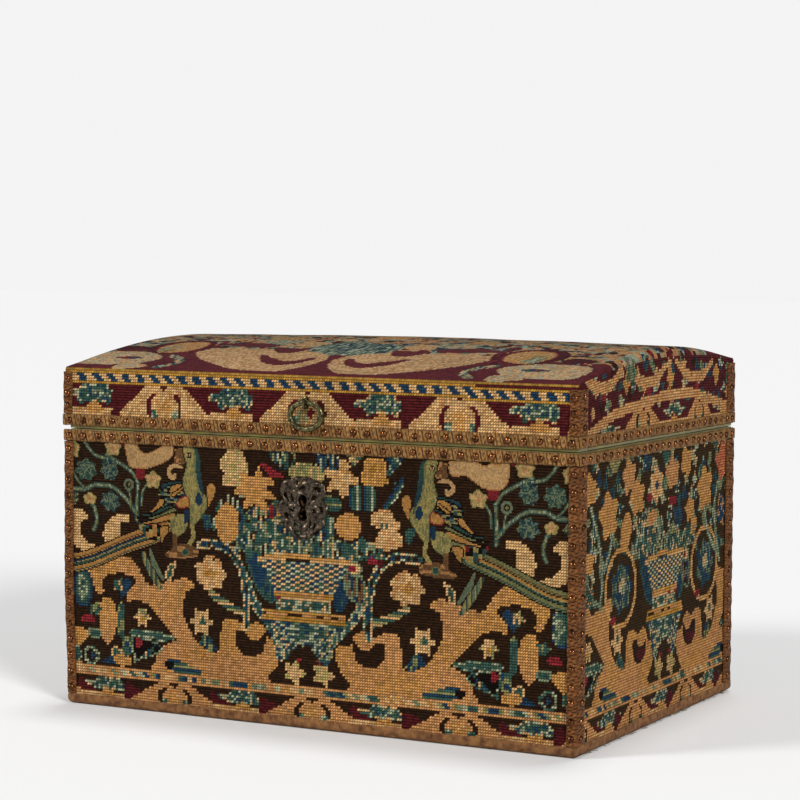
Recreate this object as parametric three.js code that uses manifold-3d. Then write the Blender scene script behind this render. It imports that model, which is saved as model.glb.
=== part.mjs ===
// A needlework casket: a small wooden chest with a bowed lid, covered in canvas work, bound with
// nailed braid and lined with silk. Millimetres, +Z up, the front facing -Y, the origin on the
// floor under the middle of the chest. The lid is closed and the lock is open.
import * as THREE from 'three';
import { mergeVertices } from 'three/addons/utils/BufferGeometryUtils.js';
import Module from 'manifold-3d';

const wasm = await Module();
wasm.setup();

// Driving sizes of the whole chest
const casketWidth = 360; // left end to right end, over the braid
const casketDepth = 260; // front to back, over the braid
const wallTop = 176.4; // floor to the rim of the wooden walls
const jointGap = 0.5; // between the two silk lips when the lid is shut
const lidFrontHeight = 37; // rim of the lid to the shoulder of its front
const lidBackHeight = 43; // rim of the lid to the shoulder of its back
const lidRise = 16.2; // swell of the top above the line between the shoulders
const lidEndSag = 2.2; // the padding thins by this much towards the ends
const lidShoulderRound = 3; // edge where the cover turns down the front and the back
const lidEndRound = 6; // softer edge where it turns down the ends, at the crown

// Thicknesses of the layers, from the outside in
const braidThickness = 1.2;
const needleworkThickness = 1.8;
const wallThickness = 12;
const liningThickness = 1;
const lipThickness = 2; // silk turned over the rims
const lipInset = 0.5; // edge of the silk, in from the needlework's face
const seat = 0.2; // between two pieces that lie against each other
const overrun = 1; // how far a cutter runs past what it cuts

// Bottom, lid boards and tape
const linenThickness = 0.8;
const linenInset = 2.5; // edge of the underside's linen, in from the braid
const bottomThickness = 9;
const lidTopThickness = 7;
const tapeThickness = 0.8;
const tapeHeight = 6.5;
const tapeLift = 0.3; // the tape stands clear of the floor

// Braid and its nails
const rimBraidHeight = 7;
const bodyBraidRise = 1.2; // the body's top braid laps the silk lip by this much
const cornerFrontWidth = 7;
const cornerEndWidth = 12;
const nailRadius = 1.7;
const nailRise = 1.3;
const nailSink = 0.3;
const nailPitch = 10.2;
const nailEndMargin = 4.5; // the first nail's centre from the end of its strip
const nailSides = 6;

// Hinges, let into the rims at the back
const hingeLength = 30;
const hingeFromEnd = 70; // middle of each hinge from the end of the chest
const hingeInset = 1.7; // the axis lies this far inside the braid's outer face
const hingeClearance = 0.25; // knuckle to rim, above and below
const hingePinRadius = 0.9;
const pinClearance = 0.2;
const knuckleGap = 0.3; // between neighbouring knuckles
const hingeLeafWidth = 9;
const hingeLeafThickness = 1.2;
const hingeNotch = 0.5; // room round a leaf in the silk lip

// Lock, let into the front wall
const lockX = -4.5; // middle of the lock and the escutcheon
const lockWidth = 56;
const lockHeight = 54;
const lockDepth = 9;
const lockPlate = 1;
const lockRoom = 0.3; // between the lock case and its recess
const keyholeDrop = 39.6; // rim of the wall to the middle of the keyhole
const keyholeHeight = 15;
const keyholeTopRadius = 2.8;
const keyholeFootRadius = 3;
const keyholeSlot = 2.2;
const boltDrop = 13.4; // rim of the wall to the middle of the bolt
const boltEndRoom = 2.5; // tail of the drawn bolt to the inside of the lock case
const boltHeight = 4;
const boltDepth = 2;
const boltSetback = 2.2; // tip of the drawn bolt to the middle of the lock
const boltTailWidth = 8;
const boltTailLength = 17;
const boltFootHeight = 6;
const boltFootLength = 16;
const boltRoom = 0.3; // under the bolt, over its two guides
const guideOffset = 5.4; // middle of each guide from the middle of the lock
const guideWidth = 4;
const guideHeight = 2;
const springThickness = 0.8;
const springDepth = 3;
const springSetback = 5.5; // end of the spring to the tip of the drawn bolt
const springBow = 3;
const springRoom = 0.3;

// Staple under the lid that the bolt shoots through
const stapleThickness = 2.4;
const stapleWidth = 4.6;
const stapleEyeRoom = 0.4; // round the bolt
const stapleFoot = 1.6; // metal below the eye
const staplePlateLength = 22;
const staplePlateDepth = 8.5;
const staplePlateThickness = 1.2;
const staplePlateRoom = 0.3;
const stapleSlotFront = 0.9; // the staple swings forward as the lid lifts
const stapleSlotBack = 0.4;

// Escutcheon
const escutcheonWidth = 34;
const escutcheonHeight = 39;
const escutcheonThickness = 1.2;
const escutcheonLobes = 14;
const escutcheonLobeShare = 0.06;
const piercingRadius = 1.1;
const piercingCount = 12;
const piercingShare = 0.74; // ring of piercings, as a share of the outline

// Ring pull on the lid's front
const ringWidth = 26;
const ringHeight = 20;
const ringWire = 4;
const ringRise = 20.5; // rim of the lid to the ring's axis
const ringRoom = 0.4; // round the wire in its eye, and in front of the nails
const eyeWire = 1.8;
const shankRadius = 1;
const shankRoom = 0.25;

// Smoothness of curved pieces
const archSegments = 16;
const endSegments = 3;
const bowSegments = 4;
const knuckleSides = 16;
const ringSegments = 28;
const ringSides = 10;
const eyeSegments = 16;
const eyeSides = 8;
const outlinePoints = 56;
const holeSides = 8;
const shankSides = 8;
const springSegments = 10;

// Planes that the pieces share, measured from the middle of the chest
const braidX = casketWidth / 2;
const braidY = casketDepth / 2;
const coverX = braidX - braidThickness - seat;
const coverY = braidY - braidThickness - seat;
const boardX = coverX - needleworkThickness - seat;
const boardY = coverY - needleworkThickness - seat;
const innerX = boardX - wallThickness;
const innerY = boardY - wallThickness;
const liningX = innerX - seat;
const liningY = innerY - seat;
const roomX = liningX - liningThickness;
const roomY = liningY - liningThickness;

// Heights that the pieces share
const boardFoot = linenThickness + seat;
const floorTop = boardFoot + bottomThickness;
const bodyLipTop = wallTop + seat + lipThickness;
const lidLipFoot = bodyLipTop + jointGap;
const lidFoot = lidLipFoot + lipThickness + seat;
const bodyBraidTop = wallTop + bodyBraidRise;
const hingeZ = (bodyLipTop + lidLipFoot) / 2;
const hingeY = braidY - hingeInset;
const knuckleRadius = (lidFoot - wallTop) / 2 - hingeClearance;

// Finishes: colour, roughness, metalness
const finish = (color, roughness, metalness = 0) =>
  new THREE.MeshStandardMaterial({ color, roughness, metalness });
const oak = () => finish(0x8a6a44, 0.8);
const canvasWork = () => finish(0x4a3a28, 0.95);
const braid = () => finish(0xa9713a, 0.85);
const silk = () => finish(0x8f8d35, 0.6);
const linen = () => finish(0x9a8664, 0.9);
const tape = () => finish(0x7d5a3c, 0.9);
const iron = () => finish(0x3b332e, 0.55, 0.9);
const bronze = () => finish(0x4a4636, 0.5, 0.9);
const brass = () => finish(0x9a7a3c, 0.4, 1);

// Solids: a geometry becomes a manifold solid to be cut or joined, and a geometry again
function solidOf(geometry) {
  const bare = geometry.index ? geometry.toNonIndexed() : geometry.clone();
  bare.deleteAttribute('normal');
  bare.deleteAttribute('uv');
  const merged = mergeVertices(bare);
  return new wasm.Manifold(new wasm.Mesh({
    numProp: 3,
    vertProperties: new Float32Array(merged.attributes.position.array),
    triVerts: new Uint32Array(merged.index.array),
  }));
}

function geometryOf(solid) {
  const { vertProperties, triVerts } = solid.getMesh();
  const geometry = new THREE.BufferGeometry();
  geometry.setAttribute('position', new THREE.BufferAttribute(vertProperties, 3));
  geometry.setIndex(new THREE.BufferAttribute(triVerts, 1));
  geometry.computeVertexNormals();
  return geometry;
}

const joined = (...geometries) =>
  geometryOf(geometries.map(solidOf).reduce((sum, next) => sum.add(next)));

const cut = (geometry, ...cutters) =>
  geometryOf(cutters.map(solidOf).reduce((left, next) => left.subtract(next), solidOf(geometry)));

// A block from its lowest to its highest corner
function block([x0, x1], [y0, y1], [z0, z1]) {
  const geometry = new THREE.BoxGeometry(x1 - x0, y1 - y0, z1 - z0);
  return geometry.translate((x0 + x1) / 2, (y0 + y1) / 2, (z0 + z1) / 2);
}

const across = (half) => [-half, half];
const around = (middle, half) => [middle - half, middle + half];

// A round bar along X or Y, from one end to the other
function barX(radius, [x0, x1], y, z, sides) {
  const bar = new THREE.CylinderGeometry(radius, radius, x1 - x0, sides);
  return bar.rotateZ(Math.PI / 2).translate((x0 + x1) / 2, y, z);
}

function barY(radius, [y0, y1], x, z, sides) {
  const bar = new THREE.CylinderGeometry(radius, radius, y1 - y0, sides);
  return bar.translate(x, (y0 + y1) / 2, z);
}

// An outline drawn in X and Z, carried back along Y from its front face
function carriedBack(shape, [y0, y1]) {
  const geometry = new THREE.ExtrudeGeometry(shape, { depth: y1 - y0, bevelEnabled: false });
  return geometry.rotateX(Math.PI / 2).translate(0, y1, 0);
}

// The lid's arch: a straight line between the two shoulders, swelled in the middle
const shareAcross = (y) => (y + coverY) / (2 * coverY);
const swellShare = (y) => 4 * shareAcross(y) * (1 - shareAcross(y));
const archHeight = (y) => {
  const line = lidFrontHeight + (lidBackHeight - lidFrontHeight) * shareAcross(y);
  return lidFoot + line + lidRise * swellShare(y);
};

const archPoints = (halfDepth, lowering) => Array.from({ length: archSegments + 1 }, (_, i) => {
  const y = -halfDepth + (2 * halfDepth * i) / archSegments;
  return [y, archHeight(y) - lowering];
});

// The lid's outline in Y and Z, inside the cover's outer face and lowered, down to its sides' foot
function lidOutline(inset, lowering, frontFoot, backFoot) {
  const half = coverY - inset;
  const round = lidShoulderRound - inset;
  const corner = (y) => archHeight(y) - lowering;
  const arch = archPoints(half - round, lowering);
  const shape = new THREE.Shape();
  shape.moveTo(-half, frontFoot);
  shape.lineTo(-half, corner(-half) - round);
  shape.quadraticCurveTo(-half, corner(-half), ...arch[0]);
  arch.slice(1).forEach(([y, z]) => shape.lineTo(y, z));
  shape.quadraticCurveTo(half, corner(half), half, corner(half) - round);
  shape.lineTo(half, backFoot);
  return shape;
}

// Carries an outline in Y and Z along X, with closely spaced sections where the ends are rounded
function carriedAlong(shape, halfLength, round = 0, steps = 1) {
  const geometry = new THREE.ExtrudeGeometry(shape, {
    depth: 2 * (halfLength - round),
    steps,
    bevelEnabled: round > 0,
    bevelThickness: round,
    bevelSize: 0,
    bevelSegments: endSegments,
    curveSegments: endSegments,
  });
  geometry.translate(0, 0, round - halfLength);
  return geometry.applyMatrix4(new THREE.Matrix4().makeBasis(
    new THREE.Vector3(0, 1, 0), new THREE.Vector3(0, 0, 1), new THREE.Vector3(1, 0, 0)));
}

// Lowers the top of a carried outline towards both ends: a slow sag, and a round edge. What lies
// at the foot stays, and the corners stay sharp, because both follow the swell of the arch.
function softened(geometry, halfLength, round, sag, topOf, footOf) {
  const position = geometry.attributes.position;
  for (let i = 0; i < position.count; i += 1) {
    const [x, y, z] = [position.getX(i), position.getY(i), position.getZ(i)];
    const past = Math.min(Math.max(Math.abs(x) - halfLength + round, 0), round);
    const turn = round - Math.sqrt(round * round - past * past);
    const drop = (turn + sag * (x / halfLength) ** 2) * swellShare(y);
    position.setZ(i, z - (drop * (z - footOf(y))) / (topOf(y) - footOf(y)));
  }
  return geometry;
}

// A plate with an arched top, standing across the lid between two places along X
function archedPlate(halfDepth, foot, lowering, [x0, x1]) {
  const shape = new THREE.Shape();
  shape.moveTo(-halfDepth, foot);
  archPoints(halfDepth, lowering).forEach(([y, z]) => shape.lineTo(y, z));
  shape.lineTo(halfDepth, foot);
  shape.closePath();
  return carriedAlong(shape, (x1 - x0) / 2).translate((x0 + x1) / 2, 0, 0);
}

// The group and its pieces
const casket = new THREE.Group();
const body = new THREE.Group();
const lid = new THREE.Group();
const ringPull = new THREE.Group();
const bolt = new THREE.Group();
casket.add(body, lid);
lid.add(ringPull);
body.add(bolt);

function piece(group, name, geometry, material) {
  const mesh = new THREE.Mesh(geometry, material);
  mesh.name = name;
  group.add(mesh);
  return mesh;
}

// Four sides of the chest, in the order they are made
const ends = [['left', -1], ['right', 1]];
const faces = [['front', -1], ['back', 1]];
const span = (sign, near, far) => (sign < 0 ? [-far, -near] : [near, far]);

// Keyhole: a round head, a narrow waist and a round foot, as a cutter through the front
const keyholeZ = wallTop - keyholeDrop;

function keyholeCutter(depths) {
  const head = keyholeZ + keyholeHeight / 2 - keyholeTopRadius;
  const foot = keyholeZ - keyholeHeight / 2 + keyholeFootRadius;
  return joined(
    barY(keyholeTopRadius, depths, lockX, head, holeSides),
    barY(keyholeFootRadius, depths, lockX, foot, holeSides),
    block(around(lockX, keyholeSlot / 2), depths, [foot, head]),
  );
}

// Lock: where the case stands in the front wall, and the staple's and bolt's places in it
const lockFront = -innerY - lockDepth;
const stapleY = lockFront + (lockDepth - lockPlate) / 2 + seat;
const boltZ = wallTop - boltDrop;
const eyeBottom = boltZ - boltHeight / 2 - stapleEyeRoom;
const stapleTip = eyeBottom - stapleFoot;
const stapleSlotY = [
  stapleY - stapleWidth / 2 - stapleSlotFront,
  stapleY + stapleWidth / 2 + stapleSlotBack,
];
const stapleSlotX = around(lockX, stapleThickness / 2 + stapleSlotBack);

function woodenWalls() {
  const frontBoard = block(across(boardX), [-boardY, -innerY], [boardFoot, wallTop]);
  const recess = block(
    around(lockX, lockWidth / 2 + lockRoom),
    [lockFront - lockRoom, -innerY + overrun],
    [wallTop - lockHeight - lockRoom, wallTop + overrun],
  );
  const keyhole = keyholeCutter([-boardY - overrun, lockFront]);
  piece(body, 'carcase_front_board', cut(frontBoard, recess, keyhole), oak());
  piece(body, 'carcase_back_board',
    block(across(boardX), [innerY, boardY], [boardFoot, wallTop]), oak());
  for (const [side, sign] of ends) {
    piece(body, `carcase_${side}_board`,
      block(span(sign, innerX, boardX), across(innerY - seat), [boardFoot, wallTop]), oak());
  }
  piece(body, 'carcase_bottom_board',
    block(across(innerX - seat), across(innerY - seat), [boardFoot, floorTop]), oak());
  piece(body, 'underside_linen',
    block(across(braidX - linenInset), across(braidY - linenInset), [0, linenThickness]), linen());
}

function bodyNeedlework() {
  const heights = [boardFoot, wallTop];
  const front = block(across(coverX), [-coverY, -coverY + needleworkThickness], heights);
  const keyhole = keyholeCutter([-coverY - overrun, -boardY]);
  piece(body, 'needlework_front', cut(front, keyhole), canvasWork());
  piece(body, 'needlework_back',
    block(across(coverX), [coverY - needleworkThickness, coverY], heights), canvasWork());
  for (const [side, sign] of ends) {
    piece(body, `needlework_${side}`,
      block(span(sign, coverX - needleworkThickness, coverX), across(boardY), heights),
      canvasWork());
  }
}

// Nails stand out of a strip in a row, as low cones turned to its face
function nailAt(x, y, z, normal) {
  const height = nailRise + nailSink;
  const nail = new THREE.ConeGeometry(nailRadius, height, nailSides);
  nail.translate(0, height / 2 - nailSink, 0);
  nail.applyQuaternion(new THREE.Quaternion().setFromUnitVectors(
    new THREE.Vector3(0, 1, 0), new THREE.Vector3(...normal)));
  return nail.translate(x, y, z);
}

function nailPlaces([from, to]) {
  const length = to - from - 2 * nailEndMargin;
  const gaps = Math.max(Math.round(length / nailPitch), 1);
  return Array.from({ length: gaps + 1 }, (_, i) => from + nailEndMargin + (length * i) / gaps);
}

// A strip of braid on the front or back, or on an end, with one row of nails along its length
function stripOnFace(sign, xs, zs) {
  const long = xs[1] - xs[0] > zs[1] - zs[0];
  const [x, z] = [(xs[0] + xs[1]) / 2, (zs[0] + zs[1]) / 2];
  const places = nailPlaces(long ? xs : zs).map((at) => (long ? [at, z] : [x, at]));
  return joined(
    block(xs, span(sign, braidY - braidThickness, braidY), zs),
    ...places.map(([px, pz]) => nailAt(px, sign * braidY, pz, [0, sign, 0])),
  );
}

function stripOnEnd(sign, ys, zs) {
  const long = ys[1] - ys[0] > zs[1] - zs[0];
  const [y, z] = [(ys[0] + ys[1]) / 2, (zs[0] + zs[1]) / 2];
  const places = nailPlaces(long ? ys : zs).map((at) => (long ? [at, z] : [y, at]));
  return joined(
    block(span(sign, braidX - braidThickness, braidX), ys, zs),
    ...places.map(([py, pz]) => nailAt(sign * braidX, py, pz, [sign, 0, 0])),
  );
}

// One braid round a rim: four strips, the front and back ones running over the corners
function rimBraid(group, name, heights, notchesInBack) {
  for (const [face, sign] of faces) {
    const strip = stripOnFace(sign, across(braidX), heights);
    const notched = sign > 0 && notchesInBack.length > 0 ? cut(strip, ...notchesInBack) : strip;
    piece(group, `${name}_${face}`, notched, braid());
  }
  for (const [side, sign] of ends) {
    const strip = stripOnEnd(sign, across(braidY - braidThickness - seat), heights);
    piece(group, `${name}_${side}`, strip, braid());
  }
}

// Upright braid at the four corners: two strips in front, one folded strip behind
function cornerBraid(group, name, frontHeights, backHeights) {
  const inner = braidY - braidThickness - seat;
  for (const [side, sign] of ends) {
    const frontXs = span(sign, braidX - cornerFrontWidth, braidX);
    piece(group, `${name}_front_${side}`, stripOnFace(-1, frontXs, frontHeights), braid());
    piece(group, `${name}_${side}_front`,
      stripOnEnd(sign, [-inner, -inner + cornerEndWidth], frontHeights), braid());
    piece(group, `${name}_back_${side}`, joined(
      stripOnFace(1, frontXs, backHeights),
      stripOnEnd(sign, [inner - cornerEndWidth, braidY], backHeights),
    ), braid());
  }
}

function tapeRing() {
  const outer = block(across(coverX + seat + tapeThickness), across(coverY + seat + tapeThickness),
    [tapeLift, tapeLift + tapeHeight]);
  const inner = block(across(coverX + seat), across(coverY + seat),
    [tapeLift - overrun, tapeLift + tapeHeight + overrun]);
  piece(body, 'base_tape', cut(outer, inner), tape());
}

// Where a hinge lies, and the notches that it needs
const hinges = ends.map(([side, sign]) => [side, sign * (braidX - hingeFromEnd)]);
const hingeXs = (x, room = 0) => around(x, hingeLength / 2 + room);
const leafFront = hingeY - hingeLeafWidth;

const lipNotches = (heights) => hinges.map(([, x]) =>
  block(hingeXs(x, hingeNotch), [leafFront - hingeNotch, braidY + overrun], heights));

// Silk: each panel turns over its rim and ends just inside the needlework's face
const lipOnFace = (sign, heights) =>
  block(across(coverX - lipInset), span(sign, roomY, coverY - lipInset), heights);

const lipOnEnd = (sign, heights) =>
  block(span(sign, roomX, coverX - lipInset), across(roomY - seat), heights);

const panelOnFace = (sign, heights) =>
  block(across(innerX - seat), span(sign, roomY, liningY), heights);

function bodyLining() {
  const lip = [wallTop + seat, bodyLipTop];
  const through = [wallTop, bodyLipTop + overrun];
  const floor = [floorTop + seat, floorTop + seat + liningThickness];
  const panel = [floor[1] + seat, bodyLipTop];
  const front = joined(panelOnFace(-1, panel), lipOnFace(-1, lip));
  const back = joined(panelOnFace(1, panel), lipOnFace(1, lip));
  piece(body, 'lining_front', cut(front, block(stapleSlotX, stapleSlotY, through)), silk());
  piece(body, 'lining_back', cut(back, ...lipNotches(through)), silk());
  for (const [side, sign] of ends) {
    const wall = block(span(sign, roomX, liningX), across(roomY - seat), panel);
    piece(body, `lining_${side}`, joined(wall, lipOnEnd(sign, lip)), silk());
  }
  piece(body, 'lining_floor', block(across(liningX), across(liningY), floor), silk());
}

function escutcheon() {
  const outline = (phase, share) => {
    const lobe = 1 + escutcheonLobeShare * Math.cos(escutcheonLobes * phase);
    return new THREE.Vector2(
      lockX + (escutcheonWidth / 2) * share * lobe * Math.cos(phase),
      keyholeZ + (escutcheonHeight / 2) * share * lobe * Math.sin(phase),
    );
  };
  const turn = (i, count) => (2 * Math.PI * i) / count;
  const shape = new THREE.Shape(Array.from({ length: outlinePoints },
    (_, i) => outline(turn(i, outlinePoints), 1)));
  const depths = [-coverY - seat - escutcheonThickness, -coverY - seat];
  const past = [depths[0] - overrun, depths[1] + overrun];
  const piercings = Array.from({ length: piercingCount }, (_, i) => {
    const { x, y } = outline(turn(i + 1 / 2, piercingCount), piercingShare);
    return barY(piercingRadius, past, x, y, holeSides);
  });
  piece(body, 'escutcheon',
    cut(carriedBack(shape, depths), keyholeCutter(past), ...piercings), iron());
}

function lock() {
  const xs = around(lockX, lockWidth / 2);
  const zs = [wallTop - lockHeight, wallTop];
  const hollow = block(
    around(lockX, lockWidth / 2 - lockPlate),
    [lockFront - overrun, -innerY - lockPlate],
    [zs[0] + lockPlate, zs[1] - lockPlate],
  );
  const slot = block(stapleSlotX, stapleSlotY, [wallTop - lockPlate - overrun, wallTop + overrun]);
  const guides = [-guideOffset, guideOffset].map((offset) => block(
    around(lockX + offset, guideWidth / 2),
    [stapleY - boltDepth / 2, -innerY - lockPlate / 2],
    [boltZ - boltHeight / 2 - boltRoom - guideHeight, boltZ - boltHeight / 2 - boltRoom],
  ));
  const box = cut(block(xs, [lockFront, -innerY], zs), hollow, slot);
  piece(body, 'lock_case', joined(box, ...guides), iron());

  const tip = lockX - boltSetback;
  const tail = xs[0] + lockPlate + boltEndRoom;
  const barTop = boltZ + boltHeight / 2;
  const barFoot = boltZ - boltHeight / 2;
  const tailFoot = barFoot - boltTailLength;
  const outline = new THREE.Shape([
    [tail, barTop], [tail, tailFoot], [tail + boltFootLength, tailFoot],
    [tail + boltFootLength, tailFoot + boltFootHeight],
    [tail + boltTailWidth, tailFoot + boltFootHeight],
    [tail + boltTailWidth, barFoot], [tip, barFoot], [tip, barTop],
  ].map(([x, z]) => new THREE.Vector2(x, z)));
  piece(bolt, 'lock_bolt', carriedBack(outline, around(stapleY, boltDepth / 2)), iron());

  const springFoot = barTop + springRoom;
  const springLeft = xs[0] + lockPlate + springRoom;
  const springLength = tip - springSetback - springLeft;
  const bow = (share) => springFoot + springBow * (2 * share - 1) ** 2;
  const shares = Array.from({ length: springSegments + 1 }, (_, i) => i / springSegments);
  const under = shares.map((s) => new THREE.Vector2(springLeft + springLength * s, bow(s)));
  const over = under.map(({ x, y }) => new THREE.Vector2(x, y + springThickness)).reverse();
  piece(body, 'lock_spring', carriedBack(new THREE.Shape([...under, ...over]),
    around(stapleY, springDepth / 2)), iron());
}

// Butt hinges: the body's leaf has the two outer knuckles, the lid's leaf the middle one
function hinge(side, x) {
  const third = hingeLength / 3;
  const inner = [x - third / 2, x + third / 2];
  const outer = [[x - hingeLength / 2, inner[0] - knuckleGap],
    [inner[1] + knuckleGap, x + hingeLength / 2]];
  const bore = barX(hingePinRadius + pinClearance, hingeXs(x, overrun), hingeY, hingeZ,
    knuckleSides);
  const bodyLeafZs = [wallTop + seat, wallTop + seat + hingeLeafThickness];
  const lidLeafZs = [lidFoot - seat - hingeLeafThickness, lidFoot - seat];
  const reach = hingeY - knuckleRadius - hingeClearance;
  const past = [reach, hingeY + knuckleRadius + overrun];

  const bodyKnuckles = outer.map((xs) => barX(knuckleRadius, xs, hingeY, hingeZ, knuckleSides));
  const bodyLeaf = block(hingeXs(x), [leafFront, hingeY], bodyLeafZs);
  const bodyGap = block(around(x, third / 2 + knuckleGap), past, [bodyLeafZs[0] - overrun, lidFoot]);
  piece(body, `hinge_${side}_body_leaf`,
    cut(joined(cut(bodyLeaf, bodyGap), ...bodyKnuckles), bore), brass());

  const lidKnuckle = barX(knuckleRadius, inner, hingeY, hingeZ, knuckleSides);
  const lidLeaf = block(hingeXs(x), [leafFront, hingeY], lidLeafZs);
  const lidGaps = outer.map(([x0, x1]) =>
    block([x0 - knuckleGap, x1 + knuckleGap], past, [wallTop, lidLeafZs[1] + overrun]));
  piece(lid, `hinge_${side}_lid_leaf`,
    cut(joined(cut(lidLeaf, ...lidGaps), lidKnuckle), bore), brass());

  piece(body, `hinge_${side}_pin`,
    barX(hingePinRadius, hingeXs(x), hingeY, hingeZ, knuckleSides), brass());
}

// Lid boards: two rails and two arched ends under a bowed top board
const coverInset = needleworkThickness + seat;
const boardDrop = coverInset + lidEndSag;
const underDrop = boardDrop + lidTopThickness + seat;
const ringZ = lidFoot + ringRise;

const shankHole = (ys) => barY(shankRadius + shankRoom, ys, 0, ringZ, shankSides);

function rail(sign) {
  const shape = new THREE.Shape([
    [sign * boardY, lidFoot], [sign * boardY, archHeight(sign * boardY) - underDrop],
    [sign * innerY, archHeight(sign * innerY) - underDrop], [sign * innerY, lidFoot],
  ].map(([y, z]) => new THREE.Vector2(y, z)));
  return carriedAlong(shape, boardX);
}

function topBoard() {
  const under = archPoints(boardY, boardDrop + lidTopThickness).reverse();
  const round = lidEndRound - coverInset;
  const outline = lidOutline(coverInset, boardDrop, under.at(-1)[1], under[0][1]);
  under.slice(1).forEach(([y, z]) => outline.lineTo(y, z));
  outline.closePath();
  const topOf = (y) => archHeight(y) - boardDrop;
  return softened(carriedAlong(outline, boardX, round), boardX, round, 0,
    topOf, (y) => topOf(y) - lidTopThickness);
}

function lidBoards() {
  const hole = shankHole([-boardY - overrun, -innerY + overrun]);
  piece(lid, 'lid_front_rail', cut(rail(-1), hole), oak());
  piece(lid, 'lid_back_rail', rail(1), oak());
  for (const [side, sign] of ends) {
    piece(lid, `lid_${side}_end`,
      archedPlate(innerY - seat, lidFoot, underDrop, span(sign, innerX, boardX)), oak());
  }
  piece(lid, 'lid_top_board', topBoard(), oak());
}

// The lid's cover: one piece of needlework folded down all round over the boards
function lidNeedlework() {
  const outline = lidOutline(0, 0, lidFoot, lidFoot);
  outline.closePath();
  const carried = carriedAlong(outline, coverX, lidEndRound, bowSegments);
  const outer = softened(carried, coverX, lidEndRound, lidEndSag, archHeight, () => lidFoot);
  const drop = needleworkThickness + lidEndSag;
  const innerFoot = lidFoot - overrun;
  const innerRound = lidEndRound - needleworkThickness;
  const innerHalf = coverX - needleworkThickness;
  const hollow = lidOutline(needleworkThickness, drop, innerFoot, innerFoot);
  hollow.closePath();
  const inner = softened(carriedAlong(hollow, innerHalf, innerRound), innerHalf, innerRound,
    0, (y) => archHeight(y) - drop, () => innerFoot);
  const hole = shankHole([-coverY - overrun, -boardY]);
  piece(lid, 'lid_needlework', cut(outer, inner, hole), canvasWork());
}

function lidLining() {
  const lip = [lidLipFoot, lidFoot - seat];
  const through = [lidLipFoot - overrun, lidFoot];
  const panel = (sign) => [lidLipFoot, archHeight(sign * liningY) - underDrop];
  const plateRoom = block(around(lockX, staplePlateLength / 2 + staplePlateRoom),
    around(stapleY, staplePlateDepth / 2 + staplePlateRoom), through);
  const front = joined(panelOnFace(-1, panel(-1)), lipOnFace(-1, lip));
  const back = joined(panelOnFace(1, panel(1)), lipOnFace(1, lip));
  piece(lid, 'lid_lining_front', cut(front, plateRoom), silk());
  piece(lid, 'lid_lining_back', cut(back, ...lipNotches(through)), silk());
  for (const [side, sign] of ends) {
    const wall = archedPlate(roomY - seat, lidLipFoot, underDrop, span(sign, roomX, liningX));
    piece(lid, `lid_lining_${side}`, joined(wall, lipOnEnd(sign, lip)), silk());
  }
  const half = roomY - seat;
  const shape = new THREE.Shape([
    ...archPoints(half, underDrop), ...archPoints(half, underDrop + liningThickness).reverse(),
  ].map(([y, z]) => new THREE.Vector2(y, z)));
  piece(lid, 'lid_lining_top', carriedAlong(shape, roomX - seat), silk());
}

function lockStaple() {
  const plateTop = lidFoot - seat;
  const plateZs = [plateTop - staplePlateThickness, plateTop];
  const plate = block(around(lockX, staplePlateLength / 2),
    around(stapleY, staplePlateDepth / 2), plateZs);
  const loop = block(around(lockX, stapleThickness / 2), around(stapleY, stapleWidth / 2),
    [stapleTip, plateTop]);
  const eye = block(around(lockX, stapleThickness / 2 + overrun),
    around(stapleY, boltDepth / 2 + stapleEyeRoom),
    around(boltZ, boltHeight / 2 + stapleEyeRoom));
  piece(lid, 'lock_staple', cut(joined(plate, loop), eye), iron());
}

// Ring pull: an oval ring through the eye of a staple driven into the lid's front rail
function pull() {
  const ringY = -braidY - nailRise - ringRoom - ringWire / 2;
  const eyeRadius = ringWire / 2 + ringRoom + eyeWire / 2;
  const eye = new THREE.TorusGeometry(eyeRadius, eyeWire / 2, eyeSides, eyeSegments);
  eye.rotateY(Math.PI / 2).translate(0, ringY, ringZ);
  const shank = barY(shankRadius, [ringY + eyeRadius, -innerY - seat], 0, ringZ, shankSides);
  piece(lid, 'ring_staple', joined(eye, shank), bronze());

  const halfWidth = (ringWidth - ringWire) / 2;
  const halfHeight = (ringHeight - ringWire) / 2;
  const ring = new THREE.TorusGeometry(halfHeight, ringWire / 2, ringSides, ringSegments);
  const position = ring.attributes.position;
  for (let i = 0; i < position.count; i += 1) {
    const [x, y] = [position.getX(i), position.getY(i)];
    position.setX(i, x + ((halfWidth - halfHeight) * x) / Math.hypot(x, y));
  }
  ring.rotateX(Math.PI / 2);
  ringPull.position.set(0, ringY, ringZ);
  piece(ringPull, 'pull_ring', ring, bronze()).position.z = -halfHeight;
}

woodenWalls();
bodyNeedlework();
tapeRing();
const bodyRim = [bodyBraidTop - rimBraidHeight, bodyBraidTop];
const lidRim = [lidFoot, lidFoot + rimBraidHeight];
const knuckleNotches = hinges.map(([, x]) =>
  block(hingeXs(x, hingeNotch), [boardY, braidY + overrun], [wallTop, bodyBraidTop + overrun]));
rimBraid(body, 'top_braid', bodyRim, knuckleNotches);
rimBraid(lid, 'lid_rim_braid', lidRim, []);
const bodyCorner = [tapeLift + tapeHeight + seat, bodyRim[0] - seat];
const lidCorner = (height) => [lidRim[1] + seat, lidFoot + height - lidShoulderRound];
cornerBraid(body, 'corner_braid', bodyCorner, bodyCorner);
cornerBraid(lid, 'lid_corner_braid', lidCorner(lidFrontHeight), lidCorner(lidBackHeight));
bodyLining();
lidBoards();
lidNeedlework();
lidLining();
escutcheon();
lock();
lockStaple();
hinges.forEach(([side, x]) => hinge(side, x));
pull();

export default casket;
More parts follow.
